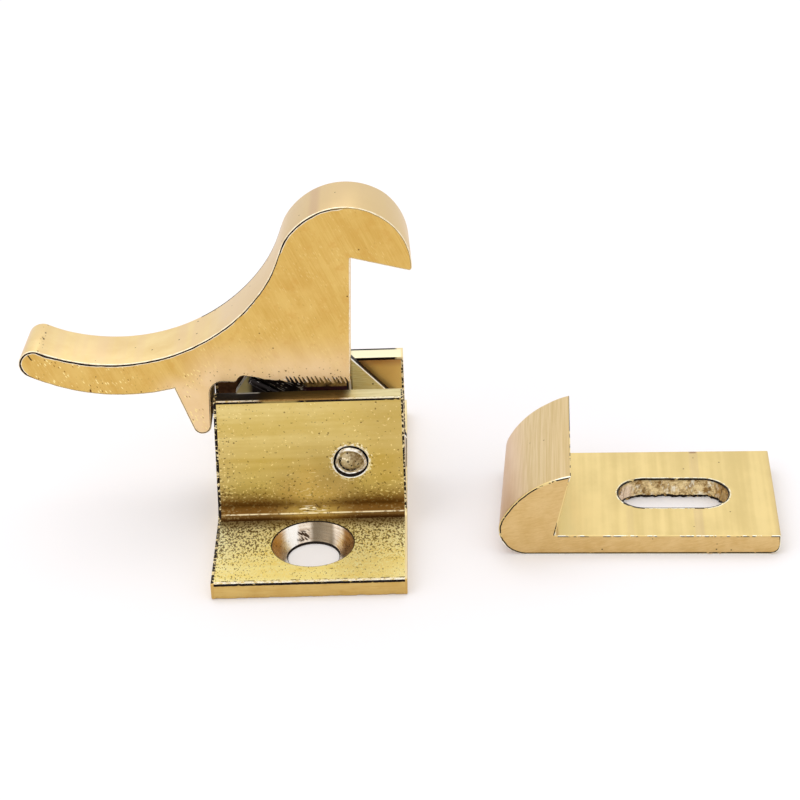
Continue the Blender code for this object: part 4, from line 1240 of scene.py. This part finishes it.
def strike_skin():
    """Drawn skin of the strike: pale yellow with lines along its width, pinker and darker on the lip."""
    f = Finish("strike skin")
    lean = (0, 0, STRIKE_TURN)
    fine = f.noise((0.16, 16.0, 0.16), lean, detail=3.0, rough=0.6)
    band = f.noise((0.9, 40.0, 0.9), lean, detail=2.0)
    cloud = f.noise((3.0, 5.0, 3.0), detail=4.0, rough=0.6)
    plate = f.mixed(f.ramp(f.plus(band, cloud, 0.8), 0.6, 1.2), (0.72, 0.55, 0.225), (0.84, 0.655, 0.29))
    lines = f.ramp(fine, 0.34, 0.66)
    lip = f.mixed(lines, (0.66, 0.48, 0.22), (0.76, 0.58, 0.32))
    lip = f.mixed(f.along("x", 22.2, 19.4, 0.0, 0.75), lip, (0.74, 0.52, 0.36))
    plate = f.mixed(f.along("x", 26.6, 24.8, 0.0, 0.8), plate, (0.90, 0.80, 0.41))
    on_lip = f.either(f.along("x", 24.6, 24.3), f.along("z", 2.4, 2.7))
    low = f.times(f.along("z", 5.0, 2.2, 0.0, 0.6), on_lip, f.along("x", 23.8, 23.0))
    skewed = f.plus(f.split.outputs[0], f.split.outputs[1], -0.055)
    stain = f.times(f.ramp(skewed, 38.4 * MM, 38.6 * MM), f.ramp(skewed, 39.5 * MM, 39.3 * MM), 0.32)
    faint = f.times(f.ramp(skewed, 31.7 * MM, 31.9 * MM), f.ramp(skewed, 32.6 * MM, 32.4 * MM), 0.12)
    stain = f.either(stain, f.times(faint, f.along("y", -6.0, -7.0)))
    plate = f.mixed(f.times(stain, f.ramp(fine, 0.3, 0.6, 0.6, 1.0)), plate, (0.62, 0.45, 0.28))
    colour = f.mixed(on_lip, plate, lip)
    colour = f.mixed(low, colour, (0.55, 0.34, 0.17))
    shaded_end = f.either(f.ramp(skewed, 46.2 * MM, 47.0 * MM, 0.0, 0.4),
                          f.times(f.window("x", 38.8, 39.5, 0.15), f.along("y", 3.7, 3.9)))
    colour = f.mixed(shaded_end, colour, (0.42, 0.27, 0.14))
    colour = f.mixed(f.specks((1.3, 1.3, 1.3), 0.08, 0.15), colour, (0.2, 0.12, 0.04))
    f.bump(f.plus(fine, band, 1.2), 0.25)
    return f.done(colour, f.ramp(cloud, 0.2, 0.8, 0.30, 0.4))


def strike_edge(name, glint):
    """Mark along the strike's edges: full below and up the lip, sparse on the plate's top and under the tip.

    It is painted shade and grime, or with glint a painted highlight that leaves the lip's side bare.
    """
    f = Finish(name)
    wave = f.noise((1.1, 0.8, 0.7), detail=3.0, rough=0.7)
    top = f.times(f.window("z", 1.7, 2.5, 0.2), f.along("y", -9.0, -10.0))
    lip = f.window("z", 7.6, 8.6, 0.2)
    tip = f.times(f.along("z", 8.5, 8.8), f.window("y", -10.8, -2.5, 0.6))
    root = f.times(f.along("x", 24.2, 24.4), f.window("z", 2.6, 7.9, 0.2))
    places = f.plus(f.plus(f.plus(f.times(top, 0.13), lip, 0.12), tip, 0.12), root)
    bare = f.ramp(f.plus(wave, places), 0.60, 0.64)
    face = f.mixed(f.along("z", 2.0, 2.2), (0.62, 0.42, 0.16), (0.80, 0.62, 0.27))
    if glint:
        bare = f.either(bare, f.window("z", 2.6, 8.5, 0.2))
        mark = (1.0, 0.96, 0.80)
    else:
        mark = (0.014, 0.008, 0.005)
    f.bump(wave, 0.15)
    return f.done(f.mixed(bare, mark, face), f.ramp(wave, 0.3, 0.7, 0.3, 0.42), metallic=0.8)


def slot_skin():
    """Punched and torn wall of the slot: gold and brown grains with bright spots of painted highlight."""
    f = Finish("slot wall")
    grains = f.noise((0.5, 0.5, 0.42), detail=4.0, rough=0.7)
    lump = f.noise((1.3, 1.3, 1.6), detail=2.0)
    colour = f.mixed(f.ramp(f.plus(grains, lump, 0.8), 0.70, 1.05), (0.30, 0.17, 0.05), (0.96, 0.78, 0.42))
    # painted highlights in bright spots
    colour = f.mixed(f.ramp(f.noise((0.9, 0.9, 1.6), detail=3.0, rough=0.6), 0.53, 0.62), colour, (1.0, 0.93, 0.72))
    smooth = f.times(f.along("x", 32.9, 31.9, 0.0, 0.85), f.along("z", 2.0, 1.5))
    colour = f.mixed(smooth, colour, (0.98, 0.80, 0.62))
    colour = f.mixed(f.along("x", 40.6, 41.2, 0.0, 0.7), colour, (0.42, 0.24, 0.06))
    colour = f.mixed(f.along("z", 1.75, 2.1, 0.0, 0.5), colour, (0.10, 0.05, 0.015))
    f.bump(grains, 0.8, 0.06)
    return f.done(colour, f.ramp(grains, 0.3, 0.7, 0.25, 0.42))


def spring_steel():
    """Drawn wire, dark with oil, with fine lines and bright lines of painted highlight along it."""
    f = Finish("dark drawn wire")
    cloud = f.noise((0.5, 0.5, 0.5), detail=4.0, rough=0.6)
    scratch_glint = f.noise((1.4, 0.1, 0.1), (0, np.radians(30), 0), detail=2.0)
    colour = f.mixed(cloud, (0.006, 0.005, 0.006), (0.036, 0.030, 0.028))
    # painted highlights along the wire
    colour = f.mixed(f.ramp(scratch_glint, 0.61, 0.65), colour, (0.8, 0.74, 0.68))
    f.bump(f.plus(cloud, scratch_glint, 0.6), 0.25)
    return f.done(colour, f.ramp(cloud, 0.2, 0.8, 0.24, 0.42))


# Studio

def camera_basis(yaw, pitch, roll):
    """Right, up and forward of a camera turned by yaw about z, pitched down, then rolled."""
    ahead = np.array([np.sin(yaw) * np.cos(pitch), np.cos(yaw) * np.cos(pitch), -np.sin(pitch)])
    level = np.array([np.cos(yaw), -np.sin(yaw), 0.0])
    upright = np.cross(level, ahead)
    right = np.cos(roll) * level + np.sin(roll) * upright
    up = -np.sin(roll) * level + np.cos(roll) * upright
    return right, up, ahead


def stand_camera():
    """Camera at the fitted place, turned by the fitted angles."""
    right, up, ahead = camera_basis(*CAMERA_TURN)
    turn = np.eye(4)
    turn[:3, 0], turn[:3, 1], turn[:3, 2] = right, up, -ahead
    turn[:3, 3] = CAMERA_AT * MM
    data = bpy.data.cameras.new("product camera")
    data.lens = CAMERA_LENS
    data.sensor_width = 36.0
    data.clip_start = 0.01
    camera = bpy.data.objects.new("product camera", data)
    camera.matrix_world = Matrix(turn.tolist())
    bpy.context.scene.collection.objects.link(camera)
    bpy.context.scene.camera = camera


def softbox(name, place, aim, size, power):
    """Rectangular lamp facing its aim, in metres and watts."""
    data = bpy.data.lights.new(name, "AREA")
    data.shape = "RECTANGLE"
    data.size, data.size_y = size
    data.energy = power
    lamp = bpy.data.objects.new(name, data)
    lamp.location = place
    lamp.rotation_euler = (Vector(aim) - Vector(place)).to_track_quat("-Z", "Y").to_euler()
    bpy.context.scene.collection.objects.link(lamp)


def seen_directly(tree):
    """1 for rays from the camera, off gloss or through glass, else 0."""
    path = tree.nodes.new("ShaderNodeLightPath")
    total = path.outputs["Is Camera Ray"]
    for name in ("Is Glossy Ray", "Is Transmission Ray"):
        node = tree.nodes.new("ShaderNodeMath")
        node.operation = "MAXIMUM"
        tree.links.new(total, node.inputs[0])
        tree.links.new(path.outputs[name], node.inputs[1])
        total = node.outputs[0]
    return total


def lay_floor():
    """White sheet; a share of plain white, for direct and mirrored rays, softens its shadows.

    The share grows from an eighth under the object to all of it a third of a metre away.
    """
    mesh = bpy.data.meshes.new("white sheet")
    half = 1.5
    mesh.from_pydata([(-half, -half, -0.00002), (half, -half, -0.00002), (half, half, -0.00002),
                      (-half, half, -0.00002)], [], [(0, 1, 2, 3)])
    sheet = bpy.data.objects.new("white_sheet", mesh)
    bpy.context.scene.collection.objects.link(sheet)
    material = bpy.data.materials.new("white paper")
    material.use_nodes = True
    tree = material.node_tree
    tree.nodes.clear()
    paper = tree.nodes.new("ShaderNodeBsdfDiffuse")
    paper.inputs["Color"].default_value = (0.925, 0.90, 0.912, 1)
    glow = tree.nodes.new("ShaderNodeEmission")
    place = tree.nodes.new("ShaderNodeTexCoord")
    far = tree.nodes.new("ShaderNodeVectorMath")
    far.operation = "LENGTH"
    tree.links.new(place.outputs["Object"], far.inputs[0])
    share = tree.nodes.new("ShaderNodeMapRange")
    share.interpolation_type = "SMOOTHSTEP"
    for name, value in (("From Min", 0.06), ("From Max", 0.33), ("To Min", 0.12), ("To Max", 1.0)):
        share.inputs[name].default_value = value
    tree.links.new(far.outputs["Value"], share.inputs["Value"])
    scale = tree.nodes.new("ShaderNodeMath")
    scale.operation = "MULTIPLY"
    tree.links.new(share.outputs[0], scale.inputs[1])
    tree.links.new(seen_directly(tree), scale.inputs[0])
    mix = tree.nodes.new("ShaderNodeMixShader")
    tree.links.new(scale.outputs[0], mix.inputs["Fac"])
    tree.links.new(paper.outputs[0], mix.inputs[1])
    tree.links.new(glow.outputs[0], mix.inputs[2])
    out = tree.nodes.new("ShaderNodeOutputMaterial")
    tree.links.new(mix.outputs[0], out.inputs["Surface"])
    mesh.materials.append(material)


def light_studio():
    """Two soft lamps and an even grey world, white where it is seen directly."""
    softbox("overhead", (-0.05, 0.12, 0.55), (0.01, 0, 0.01), (0.55, 0.5), 0.9)
    softbox("front left", (-0.45, -0.35, 0.4), (0, 0, 0.01), (0.4, 0.4), 0.5)
    scene = bpy.context.scene
    scene.view_settings.view_transform = "Standard"
    if scene.world is None:
        scene.world = bpy.data.worlds.new("studio")
    scene.world.use_nodes = True
    tree = scene.world.node_tree
    share = tree.nodes.new("ShaderNodeMix")
    share.data_type = "RGBA"
    share.inputs[6].default_value = (0.9, 0.9, 0.91, 1)
    share.inputs[7].default_value = (1, 1, 1, 1)
    tree.links.new(seen_directly(tree), share.inputs["Factor"])
    tree.links.new(share.outputs[2], tree.nodes["Background"].inputs["Color"])


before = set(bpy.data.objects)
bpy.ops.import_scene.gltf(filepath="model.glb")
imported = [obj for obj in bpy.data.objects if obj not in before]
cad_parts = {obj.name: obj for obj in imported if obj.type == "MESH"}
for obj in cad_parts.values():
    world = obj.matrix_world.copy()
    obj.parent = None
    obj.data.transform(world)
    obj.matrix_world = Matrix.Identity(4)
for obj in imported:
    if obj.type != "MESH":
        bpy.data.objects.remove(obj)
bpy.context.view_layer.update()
stand_camera()
light_studio()
lay_floor()
make_bracket([
    bracket_skin(),
    sawn_face("bracket ends", (0.62, 0.42, 0.14), (0.76, 0.58, 0.28), (0.2, 1.5, 0.2)),
    sink_skin(),
    channel_skin(),
    foot_skin(),
    sawn_face("toe face", (0.59, 0.38, 0.11), (0.70, 0.50, 0.175), (2.5, 0.4, 0.12), score=0.15),
    end_line(),
    bracket_lip(),
    wall_top(),
    dark_line("wall edge line", (0.50, 0.36, 0.12), 0.64, (0.6, 0.5, 0.5), thin=(-4.3, -0.9, 0.4)),
    dark_line("toe edge line", (0.60, 0.44, 0.14), 0.70, (0.8, 0.5, 0.5)),
])
make_pin([
    rivet_skin(),
    bright_edge("rivet rim", (0.40, 0.31, 0.20), (1.0, 0.95, 0.86)),
    dark_line("rivet groove line", (0.55, 0.45, 0.30), 0.56, (0.3, 0.3, 0.3)),
])
make_lever([
    lever_skin(),
    lever_face(),
    milled_web(),
    dark_line("lever edge line", (0.62, 0.42, 0.14), 0.70, (1.2, 1.2, 1.2), thin=(3.6, 40.0, 1.0)),
    bright_edge("lever bright edge", (0.86, 0.68, 0.42), (0.97, 0.86, 0.64)),
    bright_edge("web glint", (0.95, 0.88, 0.70), (1.0, 0.98, 0.90), metallic=0.1),
    dark_line("web edge line", (0.30, 0.20, 0.07), 0.75, (0.8, 0.8, 0.8)),
])
make_spring(spring_steel())
make_strike([
    strike_skin(),
    sawn_face("strike end", (0.62, 0.41, 0.15), (0.74, 0.53, 0.24), (0.9, 1.0, 0.13), (0, np.radians(-14), 0),
              score=0.12),
    slot_skin(),
    strike_edge("strike edge line", False),
    bright_edge("slot bright edge", (0.74, 0.58, 0.28), (1.0, 0.95, 0.74)),
    strike_edge("strike bright edge", True),
])
